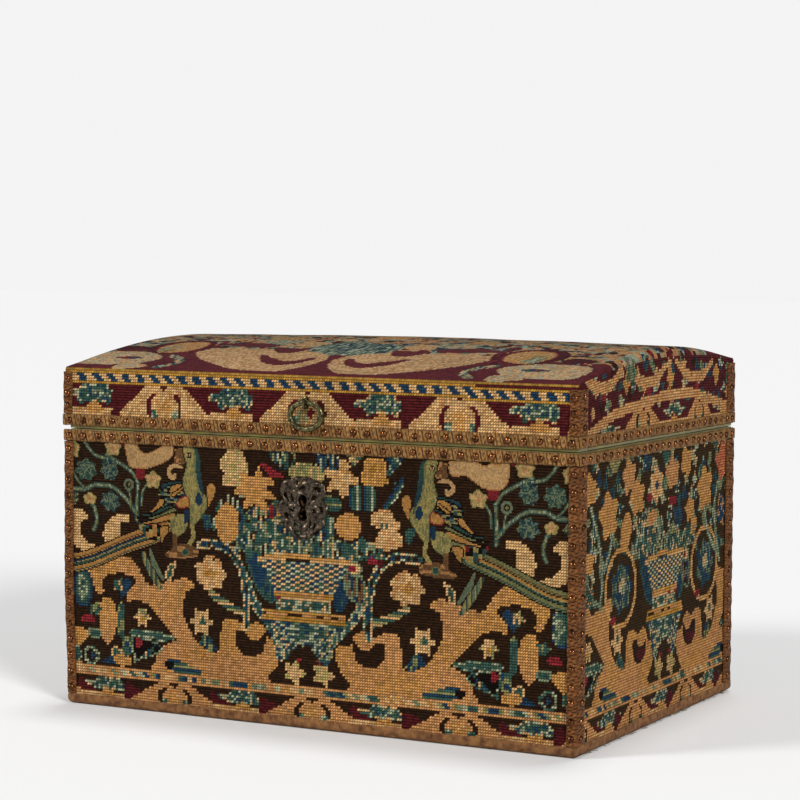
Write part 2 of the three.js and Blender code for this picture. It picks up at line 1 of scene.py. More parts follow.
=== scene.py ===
"""A needlework casket: canvas work over a wooden chest, with nailed braid, silk and ironwork.

The chest's frame is loaded first. Each operator then works one group of like pieces round it.
Charts of stitches are drawn in millimetres on a panel and worked stitch by stitch.
"""

import math
from collections import namedtuple

import bmesh
import bpy
import numpy as np
from bpy.props import FloatProperty, FloatVectorProperty, PointerProperty
from mathutils import Matrix, Vector
from mathutils.geometry import delaunay_2d_cdt


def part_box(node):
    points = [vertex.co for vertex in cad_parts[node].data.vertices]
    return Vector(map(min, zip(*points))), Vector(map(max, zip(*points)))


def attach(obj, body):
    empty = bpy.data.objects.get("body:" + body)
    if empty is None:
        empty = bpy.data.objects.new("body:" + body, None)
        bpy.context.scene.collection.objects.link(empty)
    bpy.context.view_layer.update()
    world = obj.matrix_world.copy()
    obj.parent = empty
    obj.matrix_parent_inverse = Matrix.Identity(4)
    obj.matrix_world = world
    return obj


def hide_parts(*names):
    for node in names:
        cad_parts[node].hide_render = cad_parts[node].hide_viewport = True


bl_info = {
    "name": "Needlework casket",
    "version": (1, 0, 0),
    "blender": (4, 5, 0),
    "location": "View3D > Sidebar > Casket",
    "description": "Works the needlework, braid, silk and ironwork of a casket round its frame",
    "category": "Object",
}

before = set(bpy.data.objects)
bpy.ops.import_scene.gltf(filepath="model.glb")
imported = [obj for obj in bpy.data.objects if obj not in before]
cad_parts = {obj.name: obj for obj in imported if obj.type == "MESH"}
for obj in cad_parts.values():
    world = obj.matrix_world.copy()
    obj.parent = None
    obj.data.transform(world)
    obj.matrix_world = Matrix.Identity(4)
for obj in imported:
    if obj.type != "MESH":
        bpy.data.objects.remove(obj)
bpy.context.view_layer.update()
MM = 0.001


def linear(hex_colour):
    """An sRGB hex value as linear numbers."""
    srgb = np.array([int(hex_colour[i:i + 2], 16) for i in (1, 3, 5)]) / 255
    return np.where(srgb <= 0.04045, srgb / 12.92, ((srgb + 0.055) / 1.055) ** 2.4)


# Sizes and colours that a user would change

def length_prop(label, note, millimetres):
    return FloatProperty(name=label, description=note, default=millimetres * MM, unit="LENGTH",
                         precision=5)


def colour_prop(label, note, hex_colour):
    return FloatVectorProperty(name=label, description=note, subtype="COLOR", size=3,
                               default=tuple(linear(hex_colour)), min=0, max=1)


class CasketSizes(bpy.types.PropertyGroup):
    """Sizes of the stitches, the braid, the nails and the metalwork's relief."""
    stitch: length_prop("Stitch", "Width and height of one gros point stitch", 1.7)
    stitch_rise: length_prop("Stitch rise", "Crown of a stitch above the canvas", 0.42)
    padding: length_prop("Padding", "Slow swelling of the work over its backing", 0.25)
    braid_thread: length_prop("Braid thread", "Pitch of the braid's plaited threads", 2.4)
    nail_head: length_prop("Nail head", "Radius of a nail's head", 2.3)
    nail_rise: length_prop("Nail rise", "Height of a nail's dome", 1.6)
    rim_bead: length_prop("Keyhole bead", "Rise of the bead round the keyhole", 0.9)


WOOLS = {
    "earth": ("Ground of the front and back, dark brown", "#2a1a0e"),
    "umber": ("Ground of the ends, faded warm brown", "#33230f"),
    "burgundy": ("Ground of the lid, wine red", "#4b181a"),
    "cream": ("Scrolls and blooms", "#bd9563"),
    "apricot": ("Blooms and the large scrolls", "#b07e43"),
    "tan": ("Shaded parts of the scrolls", "#b07d4c"),
    "gold": ("Lines of the borders", "#a0742f"),
    "teal": ("Leaves", "#314b41"),
    "celadon": ("Pale green of the leaves", "#97997a"),
    "blue": ("Shaded leaves and the checks", "#1f3548"),
    "moss": ("Yellow-green of the leaves", "#77754a"),
    "sage": ("Birds", "#9b8b52"),
    "mist": ("Vines, grey-green", "#687257"),
    "rose": ("Small red touches", "#7a2428"),
    "coral": ("Faded red bloom of the ends", "#a4553a"),
    "brown": ("Beaks and claws", "#6a4a2e"),
    "black": ("Outlines in petit point", "#150e0a"),
}


class CasketWools(bpy.types.PropertyGroup):
    """Colours of the wools."""
    __annotations__ = {name: colour_prop(name.capitalize(), note, value)
                       for name, (note, value) in WOOLS.items()}


class CasketStudio(bpy.types.PropertyGroup):
    """The camera's place and the strength of the lights."""
    lens: FloatProperty(name="Lens", description="Focal length", default=110.42, unit="CAMERA")
    azimuth: FloatProperty(name="Azimuth", description="Turn of the view round the casket",
                           default=math.radians(27.72), subtype="ANGLE")
    elevation: FloatProperty(name="Elevation", description="Height of the view",
                             default=math.radians(3.555), subtype="ANGLE")
    roll: FloatProperty(name="Roll", description="Tilt of the camera", default=math.radians(0.413),
                        subtype="ANGLE")
    place: FloatVectorProperty(name="Place", description="Where the camera stands", size=3,
                               default=(0.7442, -1.4267, 0.2965), subtype="TRANSLATION")


def wool(name):
    return np.array(getattr(bpy.context.scene.casket_wools, name))


def size_of(name):
    return getattr(bpy.context.scene.casket_sizes, name)


# Planes of the frame, in millimetres

def box_mm(node):
    low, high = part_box(node)
    return np.array(low) / MM, np.array(high) / MM


FRONT_LOW, FRONT_HIGH = box_mm("needlework_front")
COVER_X, COVER_Y = FRONT_HIGH[0], -FRONT_LOW[1]
LID_LOW = box_mm("lid_needlework")[0]
CAD_NAIL_RISE = 1.3  # how far the frame's nails stand out of its braid
CAD_X = box_mm("top_braid_right")[1][0] - CAD_NAIL_RISE
CAD_Y = box_mm("top_braid_back")[1][1] - CAD_NAIL_RISE


# How far the old chest has spread at its left, on the lid and on the case, where that starts and
# over what length it grows
LEAN_LID, LEAN_CASE, LEAN_START, LEAN_RUN = 2.9, 2.2, -146, 30


def leaned(points):
    """The old chest has spread a little at its left: x moves outwards by smooth steps.

    One step runs over 30 mm towards the left end, one from the back to the front, and on the case
    one from the foot up, so that the foot and the hinges stay where they are."""
    x, y, z = np.moveaxis(np.asarray(points, float), -1, 0)

    def step(share):
        share = np.clip(share, 0, 1)
        return share * share * (3 - 2 * share)
    reach = np.where(z > LID_LOW[2] - 1, LEAN_LID, LEAN_CASE * step((z - 12) / 70))
    out = reach * step((LEAN_START - x) / LEAN_RUN) * step((CAD_Y - 15 - y) / (2 * CAD_Y - 30))
    return np.stack([x - out, y, z], -1)


# Shapes on a chart: a box round the shape, and a test of which stitches lie inside it

Shape = namedtuple("Shape", "box test")


def cubic(a, b, c, d, steps):
    """Points from each b on to its c: the cubic through the two, led by a and d."""
    a, b, c, d = (points[:, None] for points in (a, b, c, d))
    t = np.linspace(0, 1, steps, endpoint=False)[None, :, None]
    curve = 2 * b + (c - a) * t + (2 * a - 5 * b + 4 * c - d) * t ** 2
    return ((curve + (3 * b - a - 3 * c + d) * t ** 3) / 2).reshape(-1, 2)


def closed_curve(points, steps=5):
    p = np.array(points, float)
    return cubic(*(np.roll(p, k, 0) for k in (1, 0, -1, -2)), steps)


def open_curve(points, steps):
    p = np.array(points, float)
    p = np.vstack([2 * p[0] - p[1], p, 2 * p[-1] - p[-2]])
    return np.vstack([cubic(*(p[k:len(p) - 3 + k] for k in range(4)), steps), p[-2]])


def box_round(points, margin=0.0):
    p = np.array(points, float)
    return (*(p.min(0) - margin), *(p.max(0) + margin))


def patch(points, sharp=False):
    """The inside of a closed outline: from a stitch inside, a line meets it an odd number of times."""
    curve = np.array(points, float) if sharp else closed_curve(points)

    def test(x, z):
        inside = np.zeros(x.shape, bool)
        for (x0, z0), (x1, z1) in zip(curve, np.roll(curve, -1, 0)):
            if z0 != z1:
                inside ^= ((z0 > z) != (z1 > z)) & (x < (x1 - x0) * (z - z0) / (z1 - z0) + x0)
        return inside
    return Shape(box_round(curve), test)


def line(points, width, steps):
    """A line along a smooth curve: a stitch is in if it lies under half a width from the curve."""
    curve = open_curve(points, steps)
    widths = np.interp(np.linspace(0, 1, len(curve)), np.linspace(0, 1, np.size(width)),
                       np.atleast_1d(width))

    def test(x, z):
        inside = np.zeros(x.shape, bool)
        for p, q, wide in zip(curve, curve[1:], widths):
            (dx, dz), reach = q - p, max(np.hypot(*(q - p)), 1e-9)
            t = np.clip(((x - p[0]) * dx + (z - p[1]) * dz) / reach ** 2, 0, 1)
            inside |= np.hypot(x - p[0] - t * dx, z - p[1] - t * dz) < wide / 2
        return inside
    return Shape(box_round(curve, max(widths)), test)


def mirrored(points):
    """The points of a right half, and back along its like on the left."""
    return points + [(-x, z) for x, z in points[::-1]]


# Wools that change from stitch to stitch

STITCH = 1.7  # one whole stitch of the charts in millimetres

def speck(i, j, seed=0.0):
    """A number from 0 to 1 for each whole pair, spread evenly: the tail of a large sine."""
    return np.modf(np.abs(np.sin(i * 12.9898 + j * 78.233 + seed * 37.719) * 43758.5453))[0]


def wools_of(names):
    return np.array([wool(name) for name in names.split()])


def mottled(names, run=(STITCH, 5.1), seed=1.0):
    """Short upright runs of several wools, as in leaves."""
    wools = wools_of(names)

    def pick(x, z):
        i = np.floor(x / run[0])
        j = np.floor(z / run[1] + speck(i, 3.0, seed))
        return wools[(speck(i, j, seed) * len(wools)).astype(int)]
    return pick


def dotted(names):
    """Single stitches of several wools."""
    return mottled(names, (STITCH, STITCH))


def striped(names, pitch=STITCH, turn=0.0):
    """Stripes across a direction that is turned from the chart's foot."""
    wools = wools_of(names)

    def pick(x, z):
        along = x * math.cos(turn) + z * math.sin(turn)
        return wools[np.floor(along / pitch).astype(int) % len(wools)]
    return pick


def shaded(low, high, start, end):
    """One wool giving way to another between two heights."""
    a, b = wool(low), wool(high)

    def pick(x, z):
        share = np.clip((z - start) / (end - start), 0, 1)[..., None]
        return a + (b - a) * np.round(share * 4) / 4
    return pick


def drifting(names):
    """Wools that give way to each other in broad uneven patches, as dye lots do."""
    wools = wools_of(names)

    def pick(x, z):
        level = 0.5 + 0.5 * np.sin(x / 17 + 1.7 * np.sin(z / 23)) * np.cos(z / 13 - x / 41)
        level = np.clip(level + 0.5 * (speck(x, z, 4.0) - 0.5), 0, 0.999) * len(wools)
        return wools[level.astype(int)]
    return pick


def tufted(name, other, seed=2.0):
    """Mostly one wool, with single stitches of another, as in looped blooms."""
    wools = np.array([wool(name), wool(name), wool(other), wool(name) * 1.12])

    def pick(x, z):
        return wools[(speck(np.floor(x / STITCH), np.floor(z / STITCH), seed) * 4).astype(int)]
    return pick


def spread(cells, columns=2):
    """Every cell of a grid made two rows high and some columns wide."""
    return np.repeat(np.repeat(cells, 2, 0), columns, 1)


class Chart:
    """The stitches of one panel, held as half stitches. Gros point works in whole ones."""

    def __init__(self, across, up, ground, seed):
        """across and up give the place of every half stitch's corner, as grids in millimetres."""
        self.rows, self.columns = across.shape[0] - 1, across.shape[1] - 1
        middle = (across[:-1, :-1] + across[1:, 1:]) / 2, (up[:-1, :-1] + up[1:, 1:]) / 2
        whole = spread(across[1::2, 1::2]), spread(up[1::2, 1::2])
        self.places = {True: middle, False: whole}
        self.colour = np.zeros((self.rows, self.columns, 3)) + wool(ground)
        self.petit = np.zeros((self.rows, self.columns), bool)
        self.laid = np.ones((self.rows, self.columns))
        self.seed = seed

    def work(self, shape, wools, petit=False, laid=0.0, edge=None):
        """Works a shape in one wool, in mottled ones or as a function has them, and then its rim."""
        x, z = self.places[petit]
        x0, z0, x1, z1 = shape.box
        near = (x >= x0) & (x <= x1) & (z >= z0) & (z <= z1)
        rows, columns = np.flatnonzero(near.any(1)), np.flatnonzero(near.any(0))
        if not len(rows):
            return
        part = slice(rows[0], rows[-1] + 1), slice(columns[0], columns[-1] + 1)
        x, z = x[part], z[part]
        mask = shape.test(x, z)
        if isinstance(wools, str):
            wools = mottled(wools) if " " in wools else wool(wools)
        colours = wools(x, z) if callable(wools) else np.broadcast_to(wools, x.shape + (3,))
        self.colour[part][mask] = colours[mask]
        self.petit[part][mask] = petit
        self.laid[part][mask] = laid
        if edge:
            step = 1 if petit else 2
            held = np.pad(mask, step)
            inner = mask.copy()
            for shift, axis in ((step, 0), (-step, 0), (step, 1), (-step, 1)):
                inner &= np.roll(held, shift, axis)[step:-step, step:-step]
            rim = wool(edge) if isinstance(edge, str) else edge(x, z)
            self.colour[part][mask & ~inner] = np.broadcast_to(rim, x.shape + (3,))[mask & ~inner]

    def worn(self):
        """The colours after years: each stitch, each thread's length and each area varies a little."""
        draw = np.random.default_rng(int(self.seed))
        fine = draw.uniform(-1, 1, self.petit.shape)
        whole = spread(draw.uniform(-1, 1, (self.rows // 2, self.columns // 2)))
        run = spread(draw.uniform(-1, 1, (self.rows // 2, self.columns // 12 + 1)), 12)
        x, z = self.places[True]
        area = np.sin(x / 23 + 1.3 * np.sin(z / 31)) * np.sin(z / 19 + x / 57 + self.seed)
        tone = 1 + 0.3 * np.where(self.petit, fine, whole) + 0.08 * run[:, :self.columns] + 0.08 * area
        return self.colour * tone[..., None]


class Pen(namedtuple("Pen", "chart x z sx sz petit", defaults=(0.0, 0.0, 1.0, 1.0, False))):
    """Works shapes on a chart from a place on it, to a scale that is below 0 where they turn over."""

    def at(self, points):
        return np.array(points, float) * (self.sx, self.sz) + (self.x, self.z)

    def shifted(self, x, z=0.0):
        return self._replace(x=self.x + x, z=self.z + z)

    def sides(self, right=0.0):
        """The pen for a left half, and the one for its like on the right, which may be shifted."""
        return self, self._replace(x=self.x + right, sx=-self.sx)

    def work(self, shape, wools, how):
        self.chart.work(shape, wools, **{"petit": self.petit, **how})

    def area(self, points, wools, sharp=False, **how):
        self.work(patch(self.at(points), sharp), wools, how)

    def stem(self, points, width, wools, steps=6, **how):
        self.work(line(self.at(points), width, steps), wools, how)

    def bloom(self, x, z, rx, rz, count, wools, depth=0.18, turn=0.0, **how):
        """An ellipse whose radius swells and shrinks with each petal."""
        (x, z), rx, rz = self.at((x, z)), rx * abs(self.sx), rz * abs(self.sz)

        def test(across, up):
            u, v = (across - x) / rx, (up - z) / rz
            return np.hypot(u, v) < 1 - depth + depth * np.cos(count * (np.arctan2(v, u) - turn))
        self.work(Shape((x - rx, z - rz, x + rx, z + rz), test), wools, how)

    def hoop(self, x, z, radius, width, wools):
        (x, z), far = self.at((x, z)), radius + width

        def test(across, up):
            return np.abs(np.hypot(across - x, up - z) - radius) < width / 2
        self.work(Shape((x - far, z - far, x + far, z + far), test), wools, {})

    def bar(self, x0, x1, z0, z1, wools):
        (x0, z0), (x1, z1) = self.at([(x0, z0), (x1, z1)])
        self.work(Shape((x0, z0, x1, z1), lambda x, z: (x > x0) & (x < x1) & (z > z0) & (z < z1)),
                  wools, {})


# Ornament shared by the panels, in millimetres from a panel's axis and foot

SCROLL_ARM = [
    (-164, 91), (-150, 95), (-140, 98), (-131, 97), (-123, 88), (-118.5, 82), (-110, 82.5),
    (-100, 85), (-92, 87.5), (-86, 86), (-84, 82), (-89, 79), (-91.5, 73), (-91.7, 65), (-90, 61),
    (-87, 55), (-83, 49), (-78, 45), (-72, 43), (-66, 43), (-64.5, 50), (-63.5, 58), (-62, 62.5),
    (-55, 63.8), (-48, 62), (-45, 60), (-38, 63.5), (-32, 61), (-29, 55), (-20.5, 53),
    (-18.7, 49), (-20, 42.7), (-23.3, 36), (-29, 30), (-33, 26.5), (-110, 26.5), (-112, 33),
    (-110, 40), (-107, 43), (-101, 46), (-97.5, 48.5), (-103.5, 54.5), (-108, 59), (-113, 64),
    (-119, 69), (-126, 70.5), (-134, 70), (-134.5, 74), (-130, 80), (-127, 83), (-133, 86.5),
    (-143, 87), (-150, 85), (-153, 80), (-152, 74), (-156, 73), (-160, 80), (-163, 87),
]
VOLUTE_EYE = [(-53, 57), (-47, 57.5), (-44.5, 54), (-41, 51.5), (-37, 52), (-34, 54.5),
              (-31.7, 57.5), (-31.5, 50), (-34, 45), (-40, 42.3), (-48, 43), (-52.5, 48)]
BASE_LEAF = [(-105, 32.5), (-101, 35), (-94, 34.5), (-88, 32), (-80, 29.5), (-77.5, 27.5),
             (-86, 27), (-95, 27), (-102, 28.5)]
TALL_LEAF = [(-153, 70), (-146, 70.5), (-142, 62), (-141.5, 54), (-144, 46), (-148.5, 40.5),
             (-153, 44), (-155, 52), (-154.5, 62)]
HANDLE_LEAF = [(-44, 109), (-38, 108), (-33, 104), (-29.5, 97), (-26.5, 90), (-23.5, 83),
               (-24, 78), (-29, 76.5), (-35, 81), (-40, 88), (-44, 97), (-46, 104)]


def scrollwork(pen):
    """The great scrolls at the foot, with their volutes, leaves and small blooms."""
    speckled = dotted("celadon teal mist")
    for pen in pen.sides():
        pen.area(SCROLL_ARM, drifting("apricot tan"))
        pen.area(VOLUTE_EYE, "earth", laid=1.0)
        pen.area(TALL_LEAF, shaded("tan", "apricot", 40, 66))
        pen.area(BASE_LEAF, striped("moss teal blue", turn=math.pi / 2))
        pen.bloom(-103, 31.5, 4.5, 3.2, 1, "black")
        pen.bloom(-78.3, 60.5, 9.5, 9, 6, "cream")
        pen.bloom(-78.3, 61, 3, 3, 1, mottled("moss teal", seed=3))
        pen.area([(-76, 53), (-71, 50), (-67, 44), (-71, 41), (-75, 45), (-80, 46)], "teal blue moss")
        pen.area([(-141, 66), (-137, 67), (-136, 56), (-137, 46), (-141, 48)],
                 mottled("teal moss teal", (3.4, 3.4)))
        pen.bloom(-140, 79, 6, 5.2, 5, "moss teal cream")
        pen.area([(-136, 84), (-131, 82), (-134, 75), (-139, 71), (-138, 78)], "blue")
        pen.bloom(-122.5, 60, 6.5, 7, 6, "cream moss cream")
        pen.bloom(-122.5, 58.5, 2.4, 2.4, 4, "gold")
        pen.area([(-131, 51), (-118, 52.5), (-106, 51), (-98, 48.7), (-107, 45.5), (-119, 47.5),
                  (-130, 47)], "teal", edge=speckled)
        pen.area([(-130, 48), (-121, 47), (-112, 45), (-108, 41), (-114, 36), (-124, 33), (-129, 31.5)],
                 "black", edge=speckled)
        pen.bloom(-126, 43.5, 3.2, 4, 1, "rose")
        pen.area([(-122, 37), (-116, 41), (-112, 44), (-115, 38), (-119, 34.5)], "blue cream teal")
        pen.bloom(-168, 76, 8.5, 15, 1, "teal", edge="blue")
        pen.bloom(-167, 76, 4.2, 10.5, 3, speckled)
        pen.bloom(-158, 63, 5, 5, 5, "teal moss")
        pen.bloom(-164.5, 56, 6, 3.6, 1, "rose")
        pen.area([(-176, 50), (-167, 50), (-163, 46), (-168, 40), (-174, 36), (-177, 42)], "apricot")
        pen.area([(-162, 50.5), (-155, 50), (-154, 44.5), (-162, 44)], "teal", edge="mist")
        pen.hoop(-161, 32.5, 5, 2.4, speckled)
        pen.bloom(-161, 32.5, 2.2, 2.2, 1, "blue")
        pen.bloom(-173, 33, 4.2, 7, 1, "teal", edge=speckled)
        pen.area([(-147, 37), (-143, 40), (-138, 37), (-139, 33), (-145, 32)], "teal", edge="cream")
        pen.area([(-152, 31), (-146, 33), (-141, 31), (-145, 28), (-152, 28)], "blue")
        pen.area([(-144, 34), (-136, 35), (-131, 33), (-132, 28), (-142, 28)], "apricot")
        pen.area([(-138, 46), (-132, 47), (-131, 36), (-137, 35)],
                 mottled("teal blue moss", (3.4, 3.4)))
        pen.bloom(-10.3, 34.5, 8, 7.8, 5, "cream cream sage")
        pen.bloom(-7.5, 42.5, 2.6, 2, 1, "rose")


ROPE = [(43.5, 60), (43, 70), (43.5, 82), (46, 94), (51, 103), (58, 108.5), (66, 110.5), (77, 109.5)]
GARLAND = [(45, 91), (43.5, 81), (38, 71), (30, 62.5), (22, 54.5), (19, 59), (25, 66), (32, 74),
           (37, 83), (41, 91)]


def wreath(pen):
    """A rope that rises beside the urn and arches over a large looped bloom."""
    for pen in pen.sides():
        pen.stem([(47, 69), (54, 71.5), (62, 75), (69, 79)], 5,
                 striped("teal cream moss", turn=math.pi / 2))
        pen.area(GARLAND, mottled("teal blue celadon teal", (1.7, 3.4)),
                 edge=dotted("cream teal celadon"))
        pen.stem(ROPE, 6, dotted("cream teal celadon cream"))
        pen.stem(ROPE, 2.6, mottled("blue teal earth", (1.7, 5.1)))
        pen.bloom(69.5, 91.5, 12, 11.5, 7, tufted("cream", "tan"), depth=0.1)
        pen.bloom(69.5, 91.5, 5, 4.2, 5, tufted("apricot", "gold"))
        pen.stem([(62, 98), (65, 101), (70, 102)], 1.8, "tan")


def urn(pen):
    """A chequered urn on a spreading foot, with leaf handles and drapery under it."""
    for side in pen.sides():
        side.area([(-31, 66), (-25, 66.5), (0.5, 66.5), (0.5, 52), (-3, 52), (-8, 51), (-14, 53),
                   (-19, 57), (-25, 60)], mottled("teal celadon blue mist teal", (3.4, 1.7)))
        side.area([(-27, 62), (-19, 63), (-12, 58), (-6, 54), (-5, 49), (-9, 47), (-12, 42), (-18, 41),
                   (-21, 48), (-23, 56)], dotted("mist celadon blue cream teal"))
    pen.shifted(4).area(HANDLE_LEAF, "blue blue teal", edge="teal")
    pen.shifted(2).area([(17, 92), (22, 94), (28, 90), (29, 81), (25, 74), (20, 76), (19, 84)],
                        "blue teal blue")
    pen.shifted(2).area([(25, 97), (31, 100), (38, 98), (42, 89), (39, 80), (32, 81), (27, 87)],
                        "brown mist earth blue", edge="mist")
    pen.bloom(34.5, 101.5, 6.5, 5.5, 1, "cream", edge="mist")
    pen.bloom(34, 101.5, 3, 2.6, 3, "rose")
    bowl = [(33, 104), (28, 97), (24, 90), (21, 84)]

    def checks(x, z):
        row = np.floor(z / STITCH)
        light = (np.floor(x / 3.4) + row) % 2 == 0
        some = speck(np.floor(x / 3.4), row)[..., None]
        dark = np.where(some > 0.5, wool("teal"), wool("blue"))
        return np.where(light[..., None], np.where(some > 0.4, wool("cream"), wool("celadon")), dark)
    pen.area(mirrored(bowl), checks, sharp=True)
    pen.stem([(-32, 103.5), (-20, 105), (-6, 106.2), (14, 105), (31, 104.5)], 3.4,
             shaded("cream", "apricot", 103, 106))
    for foot, top, half_width, names in (
            (81, 84.5, 21, "apricot tan gold"), (78.5, 81, 20, "cream rose cream"),
            (72.5, 78.5, 19.5, "celadon teal cream teal"), (70.4, 72.5, 29, "apricot gold"),
            (68.5, 70.4, 29, "tan earth tan"), (66, 68.5, 30, "gold apricot")):
        pen.bar(-half_width, half_width, foot, top,
                dotted(names) if "teal" in names else mottled(names, run=(5.1, 1.7)))


def foliage(pen):
    """The thick leaves that stand in the urn."""
    pen.area([(-50, 112), (-49, 123), (-44, 131), (-35, 136), (-22, 137), (-12, 126), (2, 119),
              (12, 125), (20, 119), (28, 117), (40, 119), (50, 117), (54, 110), (47, 107), (-47, 107)],
             mottled("teal celadon earth mist blue moss teal celadon teal cream", (1.7, 2.6)))
    for x, z, name in ((-18, 115, "blue"), (6, 112, "blue"), (26, 113, "teal"), (-34, 116, "blue"),
                       (-6, 124, "moss"), (38, 117, "celadon"), (-27, 124, "teal")):
        pen.bloom(x, z, 3.4, 6, 1, mottled(name + " teal celadon"), edge="teal")


def hill(pen, height, spread, deep="burgundy", name="cream"):
    """A pale double hill with a notch on top and two dark slots, as the borders repeat."""
    pen = pen._replace(sx=spread / 36, sz=height / 24)
    slope = [(36, 0), (34, 4.5), (28, 9.5), (21, 15.5), (15, 21), (11, 24), (6, 24), (3, 21.5)]
    pen.area(mirrored(slope + [(0, 18.8)]), tufted(name, "tan"), sharp=True)
    pen.bloom(0, 8, 7, 7, 5, tufted("apricot", "cream"))
    for side in pen.sides():
        side.area([(7, 17), (9.5, 16.5), (12.5, 13.5), (13.4, 8), (12, 2), (9, 2.6), (10.2, 8),
                   (9.6, 12.5), (7, 15)], deep)
        side.bloom(8.2, 3.6, 3, 4.4, 1, dotted("teal celadon mist teal"))


def palmette(pen, height):
    """A bushy fan of teal and pale green leaves on an apricot stem, as the borders repeat."""
    pen = pen._replace(sz=height / 24)
    pen.area(mirrored([(0, 6.5), (7, 6.5), (16, 6), (24, 5), (27, 0)]), tufted("cream", "tan"),
             sharp=True)
    pen.area(mirrored([(0, 23.5), (8, 22.6), (11, 18.5), (18, 17.5), (19.5, 14.5), (13, 12.5),
                       (10, 8.5), (4, 10.5)]), dotted("teal celadon teal mist blue teal"),
             edge=dotted("celadon cream teal"))
    pen.area(mirrored([(0, 11.5), (2.5, 9.5), (6.5, 6), (4, 3.5)]), "apricot")


def border(pen, foot, height, first, pitch, name="cream"):
    """Hills and palmettes by turns along the whole panel."""
    for k in range(-3, 4):
        spot = pen.shifted(first + k * pitch, foot)
        for side in (-1, 1):
            spot.bloom(side * 0.32 * pitch, 0.35 * height, 9, 0.5 * height, 3, "burgundy", laid=1.0)
        hill(spot, height, 0.34 * pitch, "burgundy" if height > 20 else "earth", name)
        palmette(spot.shifted(pitch / 2), height)


def check_stripe(chart, path, height, pitch=10.6, names="blue cream", rims="gold"):
    """A stripe of slanted checks between two plain rows, along a path given as z of x.

    Every check takes the next wool of its list, or skips some, so that no stretch is alike."""
    x, z = chart.places[False]
    x0, x1 = x.min() - 1, x.max() + 1
    zs = path(np.linspace(x0, x1, 64))
    box = (x0, zs.min() - height, x1, zs.max() + height)
    wools = wools_of(names)

    def off(x, z):
        return z - path(x)
    chart.work(Shape(box, lambda x, z: np.abs(off(x, z)) < height / 2), rims)

    def checks(x, z):
        place = np.floor((x + 0.8 * off(x, z)) / (pitch / 2)).astype(int)
        skips = 0 if len(wools) == 2 else (speck(place, 1.0) * 5).astype(int)
        return wools[(place + skips) % len(wools)]
    chart.work(Shape(box, lambda x, z: np.abs(off(x, z)) < height / 2 - STITCH), checks)


FADED = "cream mist tan celadon tan teal cream blue apricot moss"


# The parrot: its outline and feathers in petit point

PARROT_BODY = [
    (-92.5, 169.3), (-88.3, 170.5), (-84.2, 169.7), (-82.7, 164.7), (-82.9, 156.3), (-81.7, 149.7),
    (-80, 144.7), (-75.8, 141.3), (-73.8, 138), (-74.2, 133), (-77.5, 128), (-80.8, 123.8),
    (-85.8, 119.7), (-87.1, 124.7), (-87.1, 131.3), (-88.3, 138), (-91.7, 144.7), (-92.1, 149.7),
    (-90, 155.5), (-89.6, 159.7), (-91.3, 163.8)]
PARROT_BACK = [
    (-84, 170), (-80.9, 167.8), (-79.3, 161.3), (-78.4, 153), (-77, 146.3), (-76.6, 141.3),
    (-78.8, 137.2), (-82, 136.3), (-82.1, 138.8), (-79.8, 142.2), (-80.6, 146.3), (-81.9, 150.5),
    (-83.2, 156.3), (-82.9, 164.7)]
PARROT_BEAK = [(-99.6, 168.8), (-95.8, 170), (-92.5, 169.7), (-90.8, 163.8), (-89.6, 160),
               (-93.3, 158.4), (-98.3, 158.8), (-99.6, 161.3), (-98.8, 165.5)]
THROAT_LEAF = [(-100, 159), (-103.5, 156.3), (-104, 153), (-102.1, 150), (-98.3, 149.5),
               (-97, 151.3), (-97.5, 153.2), (-100.3, 152.8), (-101.2, 154.5), (-98.8, 156.8),
               (-95.8, 156.6), (-91.7, 157), (-95, 159)]
WING_LEAF = [(-102.5, 142.2), (-100, 145.7), (-95.8, 147.4), (-92.3, 146.8), (-91.5, 143.6),
             (-95, 140.9), (-99.2, 138), (-101.5, 140)]
WING_COVERT = [(-97.5, 134.7), (-93.3, 138.2), (-89.2, 139.5), (-86.8, 137.2), (-87.2, 133),
               (-91.7, 131.3), (-95.8, 131.8)]
WING_TOP = [(-109.2, 143.7), (-106.7, 147.2), (-100, 148.2), (-93.3, 149.5), (-91.8, 147.4),
            (-96.7, 146), (-102.5, 145), (-106.7, 142.6)]
WING_SHADE = [(-110, 141), (-106, 145), (-101, 146), (-97, 143), (-92, 142), (-90, 138),
              (-97, 134), (-105, 129.5), (-108, 131), (-104, 135), (-109, 137)]
FEATHERS = (
    ([(-118, 127.6), (-113.5, 131.5), (-109.5, 136.8), (-106.5, 137.4), (-105.2, 134.8),
      (-108.3, 131), (-112.5, 128.5), (-115.8, 126.8)], "apricot"),
    ([(-122.5, 126.6), (-115.8, 127), (-109.2, 130.5), (-103, 133), (-101.5, 131),
      (-108, 127.7), (-116, 125), (-122.5, 124.7)], "teal"),
    ([(-127, 124.2), (-118, 124.8), (-110, 127), (-100, 131.5), (-97, 131), (-97, 129),
      (-105, 126), (-114, 123), (-124, 122.4)], "moss"),
    ([(-125.5, 121.8), (-116.7, 122.6), (-108.3, 125.9), (-100, 128.6), (-96.8, 127.2),
      (-98.3, 124.3), (-105, 122), (-113.3, 120.2), (-121.7, 119.8)], "apricot"),
)
PARROT_BELLY = [(-100.5, 125.5), (-95.8, 127.6), (-90, 127.6), (-88, 124.7), (-89, 119.7),
                (-91.7, 116), (-96.7, 113.5), (-99.8, 115.5), (-101.5, 120.5)]
FLANK_LEAF = [(-109.8, 118), (-106.7, 119.9), (-102.3, 119.9), (-102, 116.3), (-105, 112.2),
              (-107.9, 108.5), (-109.4, 113)]
TAIL_LINE = [(-103, 119), (-112, 114.5), (-125, 110), (-140, 104.2), (-160, 95.5), (-172, 92),
             (-184, 90.5)]
COMMA_LEAF = [(-73.5, 147), (-70.5, 148.2), (-68.2, 145.5), (-68.8, 141), (-71, 137),
              (-73.2, 133.5), (-73, 138), (-74, 142)]


